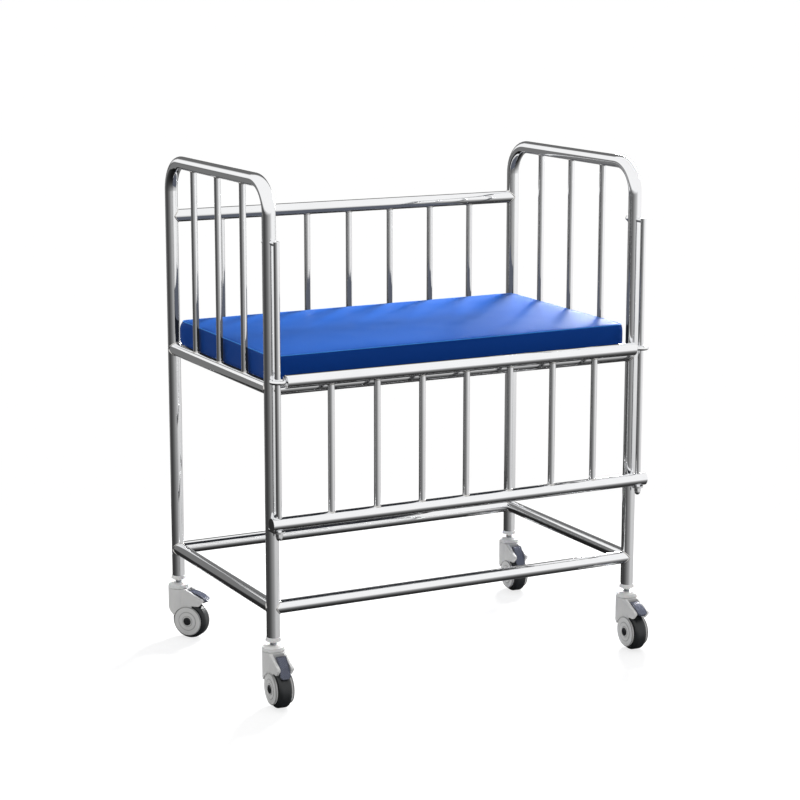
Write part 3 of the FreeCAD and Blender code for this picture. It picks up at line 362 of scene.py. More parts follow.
def polished_steel(name, colour, roughness, drawn_along):
    """Polished tube: faint lines along the way it was drawn, and hand marks in its gloss."""
    material, nodes, links, shader = new_material(name)
    stretch = tuple(0.02 if along else 1 for along in drawn_along)
    lines = add_noise(nodes, links, 900, detail=2, stretch=stretch)
    marks = add_noise(nodes, links, 14, detail=5)
    tone = blend_colours(nodes, links, marks, shade(colour, 0.95), shade(colour, 1.03))
    links.new(tone, shader.inputs["Base Color"])
    gloss = map_range(nodes, links, marks, low=roughness * 0.7, high=roughness * 1.5, start=0.3, end=0.7)
    links.new(gloss, shader.inputs["Roughness"])
    shader.inputs["Metallic"].default_value = 1.0
    add_bump(nodes, links, shader, lines, strength=0.04, distance=0.2 * MM)
    return material


def weld_steel(colour):
    """Weld bead: brushed after welding, a little straw-coloured."""
    material, nodes, links, shader = new_material("weld_steel")
    ripple = add_noise(nodes, links, 700, detail=3)
    tone = blend_colours(nodes, links, ripple, shade(colour, 0.78), WELD_STRAW)
    links.new(tone, shader.inputs["Base Color"])
    gloss = map_range(nodes, links, ripple, low=0.22, high=0.42)
    links.new(gloss, shader.inputs["Roughness"])
    shader.inputs["Metallic"].default_value = 1.0
    add_bump(nodes, links, shader, ripple, strength=0.35, distance=0.3 * MM)
    return material


def satin_steel(name, colour, roughness):
    """Turned or plated steel: fine rings and a satin gloss."""
    material, nodes, links, shader = new_material(name)
    rings = add_noise(nodes, links, 1200, detail=2, stretch=(0.05, 0.05, 1))
    tone = blend_colours(nodes, links, rings, shade(colour, 0.85), shade(colour, 1.1))
    links.new(tone, shader.inputs["Base Color"])
    gloss = map_range(nodes, links, rings, low=roughness * 0.8, high=roughness * 1.3)
    links.new(gloss, shader.inputs["Roughness"])
    shader.inputs["Metallic"].default_value = 1.0
    add_bump(nodes, links, shader, rings, strength=0.08, distance=0.1 * MM)
    return material


def moulded_plastic(name, colour, roughness, grain=0.05, subsurface=0.0):
    """Moulded plastic: a fine spark-eroded grain and slight colour drift."""
    material, nodes, links, shader = new_material(name)
    drift = add_noise(nodes, links, 30, detail=4)
    pores = add_noise(nodes, links, 2500, detail=2)
    tone = blend_colours(nodes, links, drift, shade(colour, 0.94), shade(colour, 1.05))
    links.new(tone, shader.inputs["Base Color"])
    gloss = map_range(nodes, links, pores, low=roughness * 0.85, high=roughness * 1.15)
    links.new(gloss, shader.inputs["Roughness"])
    shader.inputs["Specular IOR Level"].default_value = 0.5
    shader.inputs["Subsurface Weight"].default_value = subsurface
    shader.inputs["Subsurface Scale"].default_value = 2 * MM
    add_bump(nodes, links, shader, pores, strength=grain, distance=0.2 * MM)
    return material


def ringed_plastic(name, colour, roughness, centre, axis, grooves):
    """Moulded plastic with painted shade in the round grooves about an axle."""
    material = moulded_plastic(name, colour, roughness)
    nodes, links = material.node_tree.nodes, material.node_tree.links
    shader = nodes["Principled BSDF"]
    tone = shader.inputs["Base Color"].links[0].from_socket
    place = nodes.new("ShaderNodeTexCoord").outputs["Object"]
    offset = vector_math(nodes, links, "SUBTRACT", place, centre).outputs["Vector"]
    crossed = vector_math(nodes, links, "CROSS_PRODUCT", offset, axis).outputs["Vector"]
    reach = vector_math(nodes, links, "LENGTH", crossed).outputs["Value"]
    for radius, width, groove_shade_tone in grooves:
        aside = add_math(nodes, links, "SUBTRACT", reach, radius)
        aside = add_math(nodes, links, "ABSOLUTE", aside)
        # Painted shade: a darker colour along each groove stands in for the shade in it.
        dust_and_groove_shade = map_range(nodes, links, aside, low=groove_shade_tone, high=1, start=0, end=width)
        darker = nodes.new("ShaderNodeMix")
        darker.data_type = "RGBA"
        darker.blend_type = "MULTIPLY"
        darker.inputs["Factor"].default_value = 1
        links.new(tone, darker.inputs[6])
        links.new(dust_and_groove_shade, darker.inputs[7])
        tone = darker.outputs[2]
    links.new(tone, shader.inputs["Base Color"])
    return material


def tyre_rubber(colour):
    """Tyre: dark grey, with patches of dust."""
    material, nodes, links, shader = new_material("tyre_rubber")
    dust_and_groove_shade = add_noise(nodes, links, 120, detail=6, roughness=0.65)
    pores = add_noise(nodes, links, 1800, detail=2)
    tone = blend_colours(nodes, links, dust_and_groove_shade, shade(colour, 0.8), shade(colour, 1.5))
    links.new(tone, shader.inputs["Base Color"])
    gloss = map_range(nodes, links, dust_and_groove_shade, low=0.32, high=0.5)
    links.new(gloss, shader.inputs["Roughness"])
    add_bump(nodes, links, shader, pores, strength=0.1, distance=0.2 * MM)
    return material


def coated_cloth(name, colour):
    """Mattress cover: a coated weave with a soft sheen and slow drifts of tone."""
    material, nodes, links, shader = new_material(name)
    drift = add_noise(nodes, links, 5, detail=4)
    tone = blend_colours(nodes, links, drift, shade(colour, 0.93), shade(colour, 1.08))
    links.new(tone, shader.inputs["Base Color"])
    place = nodes.new("ShaderNodeTexCoord")
    threads = []
    for direction in ("X", "Y"):
        wave = nodes.new("ShaderNodeTexWave")
        wave.bands_direction = direction
        wave.inputs["Scale"].default_value = 420
        wave.inputs["Distortion"].default_value = 0.4
        links.new(place.outputs["Object"], wave.inputs["Vector"])
        threads.append(wave.outputs["Fac"])
    weave = add_math(nodes, links, "MULTIPLY", *threads)
    gloss = map_range(nodes, links, drift, low=0.52, high=0.6)
    links.new(gloss, shader.inputs["Roughness"])
    shader.inputs["Specular IOR Level"].default_value = 0.12
    shader.inputs["Sheen Weight"].default_value = 0.08
    shader.inputs["Sheen Roughness"].default_value = 0.45
    shader.inputs["Sheen Tint"].default_value = SHEEN_TINT
    add_bump(nodes, links, shader, weave, strength=0.06, distance=0.15 * MM)
    return material


# ---- mesh helpers ----

def new_piece(name, mesh_or_verts, faces=None, body=None, material=None, smooth=True):
    """A mesh object that rides on a CAD body and takes a slot's finish."""
    mesh = mesh_or_verts
    if faces is not None:
        mesh = bpy.data.meshes.new(name)
        mesh.from_pydata([tuple(point) for point in mesh_or_verts], [], faces)
        mesh.validate()
    mesh.polygons.foreach_set("use_smooth", [smooth] * len(mesh.polygons))
    piece = bpy.data.objects.new(name, mesh)
    bpy.context.scene.collection.objects.link(piece)
    if material is not None:
        mesh.materials.append(material)
    if body is not None:
        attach(piece, body)
    return piece


def finish_node(node, material):
    """Give a CAD node its material."""
    slots = frame["nodes"][node].data.materials
    slots.clear()
    slots.append(material)


def bead_loop(points, radius, sides=BEAD_SIDES):
    """Vertices and faces of a closed round bead along a closed loop of points."""
    verts = []
    count = len(points)
    centre = sum(points, Vector()) / count
    for index, point in enumerate(points):
        tangent = (points[(index + 1) % count] - points[index - 1]).normalized()
        outward = point - centre
        outward = (outward - outward.dot(tangent) * tangent).normalized()
        across = tangent.cross(outward)
        for side in range(sides):
            angle = 2 * math.pi * side / sides
            verts.append(point + radius * (math.cos(angle) * outward + math.sin(angle) * across))
    faces = []
    for index in range(count):
        following = (index + 1) % count
        for side in range(sides):
            beside = (side + 1) % sides
            faces.append((index * sides + side, following * sides + side,
                          following * sides + beside, index * sides + beside))
    return verts, faces


def saddle_points(centre, along, crossing, radius, crossing_radius, steps=40):
    """The line where a tube of one radius lands on a crossing tube."""
    side = along.cross(crossing)
    points = []
    for step in range(steps):
        angle = 2 * math.pi * step / steps
        aside = radius * math.sin(angle)
        reach = math.sqrt(max(0, crossing_radius ** 2 - (SADDLE_EASE * aside) ** 2))
        points.append(centre + reach * along + radius * math.cos(angle) * crossing + aside * side)
    return points


def weld_beads(name, joints, body, radius, material):
    """One piece that holds the weld beads of a group of joints on one body."""
    verts, faces = [], []
    for centre, along, crossing, tube, crossing_tube in joints:
        loop = saddle_points(centre, along, crossing, tube, crossing_tube)
        loop_verts, loop_faces = bead_loop(loop, radius)
        start = len(verts)
        verts += loop_verts
        faces += [tuple(start + index for index in face) for face in loop_faces]
    return new_piece(name, verts, faces, body, material)


def rail_joints(node, axis, ends, crossing):
    """The two saddled ends of a rail: its middle is moved to each leg axis."""
    middle = middle_of(node)
    joints = []
    for end, direction in ((min(ends), 1), (max(ends), -1)):
        centre = middle.copy()
        centre[axis] = end
        along = Vector((0, 0, 0))
        along[axis] = direction
        joints.append((centre, along, crossing, RAIL_RADIUS, RAIL_RADIUS))
    return joints


def row_joints(node, count, row_axis, rise_axis, low_end, high_end, crossing, radius):
    """The saddled ends of every bar in a row between two rails."""
    low, high = corners_of(node)
    first, last = low[row_axis] + radius, high[row_axis] - radius
    joints = []
    for index in range(count):
        for end, direction in ((low_end, 1), (high_end, -1)):
            centre = (low + high) / 2
            centre[row_axis] = first + (last - first) * index / (count - 1)
            centre[rise_axis] = end
            along = Vector((0, 0, 0))
            along[rise_axis] = direction
            joints.append((centre, along, crossing, radius, RAIL_RADIUS))
    return joints


# ---- operators ----

class BASSINET_OT_steel_frame(bpy.types.Operator):
    """Polish the hoops, rails, slats and deck bars, and weld them together"""
    bl_idname = "bassinet.steel_frame"
    bl_label = "Steel Frame"

    def execute(self, context):
        finish = context.scene.bassinet_finish
        sizes = context.scene.bassinet_sizes
        upright = polished_steel("steel_upright", finish.steel, finish.steel_roughness, (0, 0, 1))
        lengthwise = polished_steel("steel_lengthwise", finish.steel, finish.steel_roughness, (1, 0, 0))
        crosswise = polished_steel("steel_crosswise", finish.steel, finish.steel_roughness, (0, 1, 0))
        for node in ("left_end_hoop", "right_end_hoop", "back_slats", "left_end_slats", "right_end_slats"):
            finish_node(node, upright)
        for node in ("front_frame_rail", "back_frame_rail", "front_lower_stretcher", "back_lower_stretcher",
                     "back_top_rail", "deck_bars"):
            finish_node(node, lengthwise)
        for node in ("left_end_rail", "right_end_rail", "left_lower_stretcher", "right_lower_stretcher"):
            finish_node(node, crosswise)
        joints = []
        for node in ("front_frame_rail", "back_frame_rail", "front_lower_stretcher", "back_lower_stretcher",
                     "back_top_rail"):
            joints += rail_joints(node, X, LEG_X.values(), Z_AXIS)
        for side in ("left", "right"):
            for node in (f"{side}_end_rail", f"{side}_lower_stretcher"):
                joints += rail_joints(node, Y, LEG_Y.values(), Z_AXIS)
            joints += row_joints(f"{side}_end_slats", SLAT_COUNTS[f"{side}_end_slats"], Y, Z,
                                 middle_of(f"{side}_end_rail").z, HOOP_TOP, Y_AXIS, SLAT_RADIUS)
        joints += row_joints("back_slats", SLAT_COUNTS["back_slats"], X, Z, middle_of("back_frame_rail").z,
                             middle_of("back_top_rail").z, X_AXIS, SLAT_RADIUS)
        joints += row_joints("deck_bars", DECK_BAR_COUNT, Y, X,
                             LEG_X["left"], LEG_X["right"], Y_AXIS, DECK_RADIUS)
        weld_beads("frame_welds", joints, "frame", sizes.weld_radius, weld_steel(finish.steel))
        return {"FINISHED"}


class BASSINET_OT_drop_gate(bpy.types.Operator):
    """Polish the drop gate and weld its slats to its rails"""
    bl_idname = "bassinet.drop_gate"
    bl_label = "Drop Gate"

    def execute(self, context):
        finish = context.scene.bassinet_finish
        sizes = context.scene.bassinet_sizes
        for node in ("gate_top_rail", "gate_bottom_rail"):
            finish_node(node, bpy.data.materials["steel_lengthwise"])
        for node in ("gate_slats", "gate_eyes"):
            finish_node(node, bpy.data.materials["steel_upright"])
        turned = polished_steel("steel_caps", finish.steel, finish.steel_roughness * 1.6, (0, 0, 0))
        finish_node("gate_end_caps", turned)
        joints = row_joints("gate_slats", SLAT_COUNTS["gate_slats"], X, Z, middle_of("gate_bottom_rail").z,
                            middle_of("gate_top_rail").z, X_AXIS, SLAT_RADIUS)
        weld_beads("gate_welds", joints, "gate", sizes.weld_radius, bpy.data.materials["weld_steel"])
        return {"FINISHED"}


class BASSINET_OT_guide_rods(bpy.types.Operator):
    """Finish the guide rods with their pins, lugs and dome nuts"""
    bl_idname = "bassinet.guide_rods"
    bl_label = "Guide Rods"

    def execute(self, context):
        finish = context.scene.bassinet_finish
        for node in ("left_guide_rod", "right_guide_rod"):
            finish_node(node, bpy.data.materials["steel_upright"])
        fastener = polished_steel("steel_fasteners", finish.steel, finish.steel_roughness * 1.3, (0, 1, 0))
        for node in ("rod_pins", "rod_lugs", "pin_nuts", "lug_nuts"):
            finish_node(node, fastener)
        return {"FINISHED"}


class BASSINET_OT_mattress(bpy.types.Operator):
    """Make the covered foam mattress with its two sewn rims"""
    bl_idname = "bassinet.mattress"
    bl_label = "Mattress"

    def execute(self, context):
        finish = context.scene.bassinet_finish
        sizes = context.scene.bassinet_sizes
        cover = coated_cloth("coated_cloth", finish.mattress)
        # The top welt takes the lighter cloth, a painted highlight; the bottom welt takes the cover.
        rim = coated_cloth("rim_cloth_highlight", finish.mattress_rim_highlight)
        mattress = new_piece("mattress_pad", foam_block(), body="frame",
                             material=cover)
        swell(context.scene, mattress, sizes.mattress_crown)
        fill_corners(mattress)
        # The mattress is hidden in reflections; a painted reflection card stands in its place.
        mattress.visible_glossy = False
        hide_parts("mattress")
        for name, side in (("mattress_top_welt", 1), ("mattress_bottom_welt", -1)):
            verts, faces = bead_loop(rim_points(mattress, side), sizes.welt_radius)
            welt = new_piece(name, verts, faces, "frame", rim if side > 0 else cover)
            welt.visible_glossy = False
        return {"FINISHED"}


def bounded(value, limit):
    """A value kept between a limit and its opposite."""
    return max(-limit, min(limit, value))


def plan_core(off):
    """The nearest point, in plan, of the block inside the round corners; off is from the foam's middle."""
    return Vector((bounded(off.x, FOAM_HALF.x - FOAM_CORNER), bounded(off.y, FOAM_HALF.y - FOAM_CORNER), 0))


def fullness(across_x, across_y):
    """How much higher the foam stands toward the back and the right."""
    return FOAM_RISE + FOAM_RISE_RIGHT * across_x + FOAM_RISE_BACK * across_y


def foam_block():
    """A foam block with small edges, its sides drawn in a little between the corners."""
    half = FOAM_HALF
    bm = bmesh.new()
    bmesh.ops.create_cube(bm, size=2)
    for axis, cuts in enumerate(FOAM_GRID):
        edges = [edge for edge in bm.edges if abs(edge.verts[0].co[axis] - edge.verts[1].co[axis]) > 1]
        bmesh.ops.subdivide_edges(bm, edges=edges, cuts=cuts - 1, use_grid_fill=True)
    for vert in bm.verts:
        place = Vector([spread(part) * size for part, size in zip(vert.co, half)])
        core = plan_core(place)
        out = Vector((place.x, place.y, 0)) - core
        reach = min(out.length, FOAM_CORNER)
        out.normalize()
        rise = place.z
        past, over = reach - (FOAM_CORNER - FOAM_EDGE), abs(rise) - (half.z - FOAM_EDGE)
        if past > 0 and over > 0 and math.hypot(past, over) > FOAM_EDGE:
            fit = FOAM_EDGE / math.hypot(past, over)
            reach = FOAM_CORNER - FOAM_EDGE + past * fit
            rise = math.copysign(half.z - FOAM_EDGE + over * fit, rise)
        plan = core + out * reach
        across = plan.x / half.x, plan.y / half.y
        plan.x -= FOAM_DRAWN_IN * across[0] * (1 - across[1] ** 2)
        plan.y -= FOAM_DRAWN_IN * across[1] * (1 - across[0] ** 2)
        if rise > 0:
            rise += fullness(*across) * rise / half.z
            rise += FOAM_UNEVEN * noise.noise(Vector((plan.x * UNEVEN_SCALE, plan.y * UNEVEN_SCALE, SEED)))
        vert.co = Vector((plan.x, plan.y, rise)) + FOAM_MIDDLE
    bmesh.ops.recalc_face_normals(bm, faces=bm.faces)
    mesh = bpy.data.meshes.new("mattress_pad")
    bm.to_mesh(mesh)
    bm.free()
    return mesh


def spread(part):
    """Moves the grid's lines toward the edges, where the block turns."""
    return math.copysign(1 - (1 - abs(part)) ** FOAM_CROWDING, part)


def swell(scene, piece, most):
    """Fills the cover as cloth between its sewn rims, and holds each point within the foam's room."""
    start = [vert.co.copy() for vert in piece.data.vertices]
    rims = piece.vertex_groups.new(name="rims")
    sewn = []
    for index, place in enumerate(start):
        off = place - FOAM_MIDDLE
        reach = (Vector((off.x, off.y, 0)) - plan_core(off)).length
        if reach > FOAM_CORNER - SEWN_WIDTH and abs(off.z) > FOAM_HALF.z - SEWN_WIDTH:
            sewn.append(index)
    rims.add(sewn, 1.0, "REPLACE")
    cloth = piece.modifiers.new("cover", "CLOTH")
    cloth.settings.use_pressure = True
    cloth.settings.uniform_pressure_force = COVER_PRESSURE
    cloth.settings.effector_weights.gravity = 0
    cloth.settings.vertex_group_mass = "rims"
    for step in range(1, COVER_FRAMES + 1):
        scene.frame_set(step)
    shaped = piece.evaluated_get(bpy.context.evaluated_depsgraph_get())
    ends = [vert.co.copy() for vert in shaped.data.vertices]
    piece.modifiers.remove(cloth)
    scene.frame_set(1)
    for vert, before, after in zip(piece.data.vertices, start, ends):
        move = after - before
        if move.length > 0:
            move *= most * (1 - math.exp(-move.length / most)) / move.length
        place = before + move
        place.x = max(FOAM_LOW.x - COVER_ROOM, min(FOAM_HIGH.x + COVER_ROOM, place.x))
        place.y = max(FOAM_LOW.y - COVER_ROOM, min(FOAM_HIGH.y + COVER_ROOM, place.y))
        place.z = max(FOAM_LOW.z, place.z)
        vert.co = place


def eased(part):
    """0 to 1, with a soft start and end."""
    part = max(0.0, min(1.0, part))
    return part * part * (3 - 2 * part)


def fill_corners(piece):
    """Pushes the ends out past the last slats, where nothing holds the foam, and smooths the cover."""
    half = FOAM_HALF
    for vert in piece.data.vertices:
        off = vert.co - FOAM_MIDDLE
        if abs(off.x) < half.x - END_REACH:
            continue
        push = END_PUSH["left" if off.x < 0 else "right"][1 if off.y > 0 else 0]
        push *= eased((abs(off.y) / half.y - END_FROM) / END_OVER)
        push *= eased((abs(off.x) - half.x + END_REACH) / (END_REACH - FOAM_INSET))
        vert.co.x += math.copysign(push * (1 - min(1.0, abs(off.z) / half.z) ** 4), off.x)
    smoother = piece.modifiers.new("cover_smooth", "SUBSURF")
    smoother.levels = smoother.render_levels = 1


def round_corner(turn, angle):
    """A point, in plan, on one of the foam's round corners, counted anticlockwise from the right front."""
    x_side, y_side = ((1, -1), (1, 1), (-1, 1), (-1, -1))[turn % 4]
    centre = Vector((x_side * (FOAM_HALF.x - FOAM_CORNER), y_side * (FOAM_HALF.y - FOAM_CORNER), 0))
    return centre + FOAM_CORNER * Vector((math.cos(angle), math.sin(angle), 0))


def rim_points(piece, side, steps_per_corner=10, steps_per_side=60):
    """The line of the top (1) or bottom (-1) rim round the mattress, on its cover."""
    flat = []
    for turn in range(4):
        for step in range(steps_per_corner + 1):
            angle = math.radians(-90 + 90 * turn + 90 * step / steps_per_corner)
            flat.append(round_corner(turn, angle))
        begin, finish = flat[-1], round_corner(turn + 1, math.radians(90 * turn))
        flat += [begin.lerp(finish, step / steps_per_side) for step in range(1, steps_per_side)]
    points = []
    for place in flat:
        rise = side * FOAM_HALF.z
        if side > 0:
            rise += fullness(place.x / FOAM_HALF.x, place.y / FOAM_HALF.y)
        found, spot, normal, _ = piece.closest_point_on_mesh(FOAM_MIDDLE + place + Vector((0, 0, rise)))
        if not found:
            raise RuntimeError("the rim of the mattress wasn't found")
        points.append(spot + normal * WELT_LIFT)
    return points


class BASSINET_OT_casters(bpy.types.Operator):
    """Finish the four casters and roughen their pedals with diamonds"""
    bl_idname = "bassinet.casters"
    bl_label = "Casters"

    def execute(self, context):
        finish = context.scene.bassinet_finish
        sizes = context.scene.bassinet_sizes
        white = moulded_plastic("white_plastic", finish.white_plastic, 0.28, subsurface=0.05)
        grey = moulded_plastic("grey_plastic", finish.grey_plastic, 0.42)
        blue = moulded_plastic("pedal_plastic", finish.pedal, 0.34, grain=0.12)
        # Painted highlight: the diamonds take a lighter copy of the pedal's colour.
        tread_highlight = moulded_plastic("tread_plastic", shade(finish.pedal, TREAD_HIGHLIGHT_LIGHTER), 0.34, grain=0.12)
        rubber = tyre_rubber(finish.tyre)
        plated = satin_steel("plated_steel", PLATED_STEEL, 0.3)
        black = moulded_plastic("black_heads", BLACK_PLASTIC, 0.3)
        for node in ("leg_sockets", "caster_caps"):
            finish_node(node, white)
        for node in ("caster_stems", "swivel_bearings"):
            finish_node(node, plated)
        for corner in CORNERS:
            for part in ("fork", "hub"):
                finish_node(f"{corner}_{part}", grey)
            roll = joint_of(f"{corner}_wheel_roll")
            ringed = ringed_plastic(f"cover_plastic_{corner}", finish.grey_plastic, 0.42,
                                    roll["pos_m"], roll["axis"], COVER_GROOVE_SHADES)
            finish_node(f"{corner}_side_covers", ringed)
            finish_node(f"{corner}_axle", black)
            finish_node(f"{corner}_pedal_pin", grey)
            finish_node(f"{corner}_tyre", rubber)
            finish_node(f"{corner}_pedal", blue)
            verts, faces = pedal_diamonds(corner, sizes.tread_pitch, sizes.tread_height)
            new_piece(f"{corner}_tread", verts, faces, f"{corner}_brake", tread_highlight, smooth=False)
        return {"FINISHED"}


def pedal_diamonds(corner, pitch, height):
    """Small raised diamonds in a staggered field over the top of one brake pedal."""
    pedal = frame["nodes"][f"{corner}_pedal"]
    surface = BVHTree.FromObject(pedal, bpy.context.evaluated_depsgraph_get())
    to_local = pedal.matrix_world.inverted()
    brake = joint_of(f"{corner}_brake_pedal")
    roll = joint_of(f"{corner}_wheel_roll")
    swivel = joint_of(f"{corner}_swivel_turn")
    across = Vector(brake["axis"]).normalized()
    pivot, axle = Vector(brake["pos_m"]), Vector(roll["pos_m"])
    ahead = axle - Vector(swivel["pos_m"])
    ahead.z = 0
    ahead.normalize()
    pressed_at_rest = math.radians(-brake["range_deg"][0])
    turn = Matrix.Rotation(pressed_at_rest, 3, across)
    centre = pivot + turn @ (axle - pivot)
    ahead, up = turn @ ahead, turn @ Z_AXIS

    def on_top(angle, aside, lift):
        """A point of the pedal's top, found by looking at it from outside, or None off its edge."""
        out = math.cos(angle) * ahead + math.sin(angle) * up
        origin = centre + out * (PEDAL_ARC + LOOK_FROM) + across * aside
        spot, _, _, distance = surface.ray_cast(to_local @ origin, to_local.to_3x3() @ -out)
        if spot is None or abs(distance - LOOK_FROM) > OFF_ARC:
            return None
        return origin - out * (distance - lift)

    verts, faces = [], []
    step = pitch / PEDAL_ARC
    low, high = (math.radians(degrees) for degrees in PEDAL_TURNS)
    reach = TREAD_REACH * pitch
    rim = ((reach, 0), (0, reach), (-reach, 0), (0, -reach))
    for row in range(int((high - low) / (step / 2))):
        angle = low + row * step / 2
        for column in range(-TREAD_COLUMNS, TREAD_COLUMNS + 1):
            aside = (column + (row % 2) / 2) * pitch
            ring = [on_top(angle + forward / PEDAL_ARC, aside + across_by, -TREAD_SUNK)
                    for forward, across_by in rim]
            ring.append(on_top(angle, aside, height))
            if None in ring:
                continue
            first = len(verts)
            verts += ring
            faces += [(first + side, first + (side + 1) % 4, first + 4) for side in range(4)]
            faces.append((first + 3, first + 2, first + 1, first))
    if not verts:
        raise RuntimeError(f"no room for diamonds on the {corner} pedal")
    return verts, faces


class BASSINET_OT_studio(bpy.types.Operator):
    """Set the pale floor, the backdrop, the lamps, the painted reflection cards and the camera"""
    bl_idname = "bassinet.studio"
    bl_label = "Studio"

    def execute(self, context):
        studio = context.scene.bassinet_studio
        pale_floor()
        backdrop(context.scene, studio)
        soft_sun(studio)
        soft_box("side_lamp", studio.lamp_place, studio.lamp_power, studio.lamp_size, mirrored=True)
        soft_box("top_lamp", studio.top_lamp_place, studio.top_lamp_power, studio.lamp_size, mirrored=False)
        painted_mattress_reflection()
        low_reflection_card()
        camera = bpy.data.objects.new("camera", bpy.data.cameras.new("camera"))
        context.scene.collection.objects.link(camera)
        camera.data.sensor_fit = "HORIZONTAL"
        camera.data.sensor_width = SENSOR_WIDTH
        camera.data.lens = studio.lens
        look = Vector((math.sin(studio.azimuth) * math.cos(studio.elevation),
                       math.cos(studio.azimuth) * math.cos(studio.elevation), -math.sin(studio.elevation)))
        turn = look.to_track_quat("-Z", "Y").to_matrix() @ Matrix.Rotation(studio.roll, 3, "Z")
        camera.matrix_world = Matrix.Translation(studio.place) @ turn.to_4x4()
        context.scene.camera = camera
        context.scene.view_settings.view_transform = "Standard"
        return {"FINISHED"}


def new_lamp(name, kind, energy, toward, mirrored):
    """A lamp that shines from a direction; the polished tube mirrors it or not."""
    lamp = bpy.data.objects.new(name, bpy.data.lights.new(name, kind))
    lamp.data.energy = energy
    lamp.rotation_euler = Vector(toward).to_track_quat("Z", "Y").to_euler()
    lamp.visible_glossy = mirrored
    bpy.context.scene.collection.objects.link(lamp)
    return lamp


def soft_sun(studio):
    """One wide sun, which lights the floor evenly and isn't mirrored in the tube."""
    lamp = new_lamp("soft_sun", "SUN", studio.sun, studio.sun_side, mirrored=False)
    lamp.data.angle = studio.sun_softness


def soft_box(name, place, power, size, mirrored):
    """A soft box behind the right end, turned to the mattress."""
    lamp = new_lamp(name, "AREA", power, Vector(place) - Vector((0, 0, MATTRESS_HIGH.z)), mirrored)
    lamp.data.shape = "SQUARE"
    lamp.data.size = size
    lamp.data.spread = LAMP_SPREAD
    lamp.location = place


def reflection_glow(name, tone):
    """A reflection card's surface: one plain tone that glows, a painted reflection."""
    material, nodes, links = bare_material(name)
    glow = nodes.new("ShaderNodeEmission")
    glow.inputs["Color"].default_value = (*tone, 1)
    output = nodes.new("ShaderNodeOutputMaterial")
    links.new(glow.outputs["Emission"], output.inputs["Surface"])
    return material


def new_reflection_card(name, verts, faces, tone):
    """A glowing card that only the polished tube sees: a painted reflection."""
    glow_card = new_piece(name, verts, faces, material=reflection_glow(name, tone), smooth=False)
    for kind in ("camera", "diffuse", "shadow", "transmission"):
        setattr(glow_card, f"visible_{kind}", False)


def painted_mattress_reflection():
    """A painted reflection of the mattress: a dark glowing card in its place, with a grey top."""
    inset = Vector((6 * MM, 3 * MM, 2 * MM))
    low, high = MATTRESS_LOW + inset, MATTRESS_HIGH - inset
    plan = ((low.x, low.y), (high.x, low.y), (high.x, high.y), (low.x, high.y))
    verts = [(x, y, z) for z in (low.z, high.z) for x, y in plan]
    underside_and_sides = [(3, 2, 1, 0), (0, 1, 5, 4), (1, 2, 6, 5), (2, 3, 7, 6), (3, 0, 4, 7)]
    new_reflection_card("mattress_reflection_card", verts, underside_and_sides, REFLECTION_CARD_DARK)
    new_reflection_card("mattress_reflection_card_top", verts[4:], [(0, 1, 2, 3)], REFLECTION_CARD_GREY)


def low_reflection_card():
    """A low grey glowing card behind the crib, a painted reflection that the lower tubes show."""
    left, right, back, bottom, top = -1.3, 1.7, 1.35, 0.01, 0.9
    verts = [(left, back, bottom), (right, back, bottom), (right, back, top), (left, back, top)]
    new_reflection_card("low_reflection_card", verts, [(0, 1, 2, 3)], REFLECTION_CARD_LOW)


def rays_of(nodes, links, kinds):
    """1 for rays of the given kinds, else 0."""
    path = nodes.new("ShaderNodeLightPath")
    value = path.outputs[kinds[0]]
    for kind in kinds[1:]:
        value = add_math(nodes, links, "MAXIMUM", value, path.outputs[kind])
    return value


def pale_floor():
    """A plain white floor that keeps the crib's shadow."""
    material, nodes, links = bare_material("pale_floor")
    plain = nodes.new("ShaderNodeBsdfDiffuse")
    plain.inputs["Color"].default_value = (*FLOOR_BOUNCE, 1)
    shaded = nodes.new("ShaderNodeBsdfDiffuse")
    shaded.inputs["Color"].default_value = (*FLOOR_SHADED, 1)
    glow = nodes.new("ShaderNodeEmission")
    glow.inputs["Color"].default_value = (*FLOOR_GLOW, 1)
    both = nodes.new("ShaderNodeAddShader")
    links.new(shaded.outputs["BSDF"], both.inputs[0])
    links.new(glow.outputs["Emission"], both.inputs[1])
    pick = nodes.new("ShaderNodeMixShader")
    seen = rays_of(nodes, links, ("Is Camera Ray", "Is Glossy Ray", "Is Transmission Ray"))
    links.new(seen, pick.inputs["Fac"])
    links.new(plain.outputs["BSDF"], pick.inputs[1])
    links.new(both.outputs["Shader"], pick.inputs[2])
    output = nodes.new("ShaderNodeOutputMaterial")
    links.new(pick.outputs["Shader"], output.inputs["Surface"])
    far = FLOOR_REACH
    verts = [(-far, -far, 0), (far, -far, 0), (far, far, 0), (-far, far, 0)]
    floor = new_piece("floor", verts, [(0, 1, 2, 3)], material=material, smooth=False)
    floor.visible_glossy = False


def ramp_of(nodes, links, source, stops):
    """A tone that runs straight from one (place, tone) stop to the next."""
    ramp = nodes.new("ShaderNodeValToRGB")
    elements = ramp.color_ramp.elements
    while len(elements) < len(stops):
        elements.new(0.5)
    for element, (place, tone) in zip(elements, stops):
        element.position = place
        element.color = (tone, tone, tone, 1)
    links.new(source, ramp.inputs["Fac"])
    return ramp.outputs["Color"]


def along(nodes, links, source, direction):
    """How far a direction points along another, from 0 (away) to 1 (straight along)."""
    toward = Vector(direction).normalized()
    dot = vector_math(nodes, links, "DOT_PRODUCT", source, toward)
    return map_range(nodes, links, dot.outputs["Value"], low=0, high=1, start=-1, end=1)


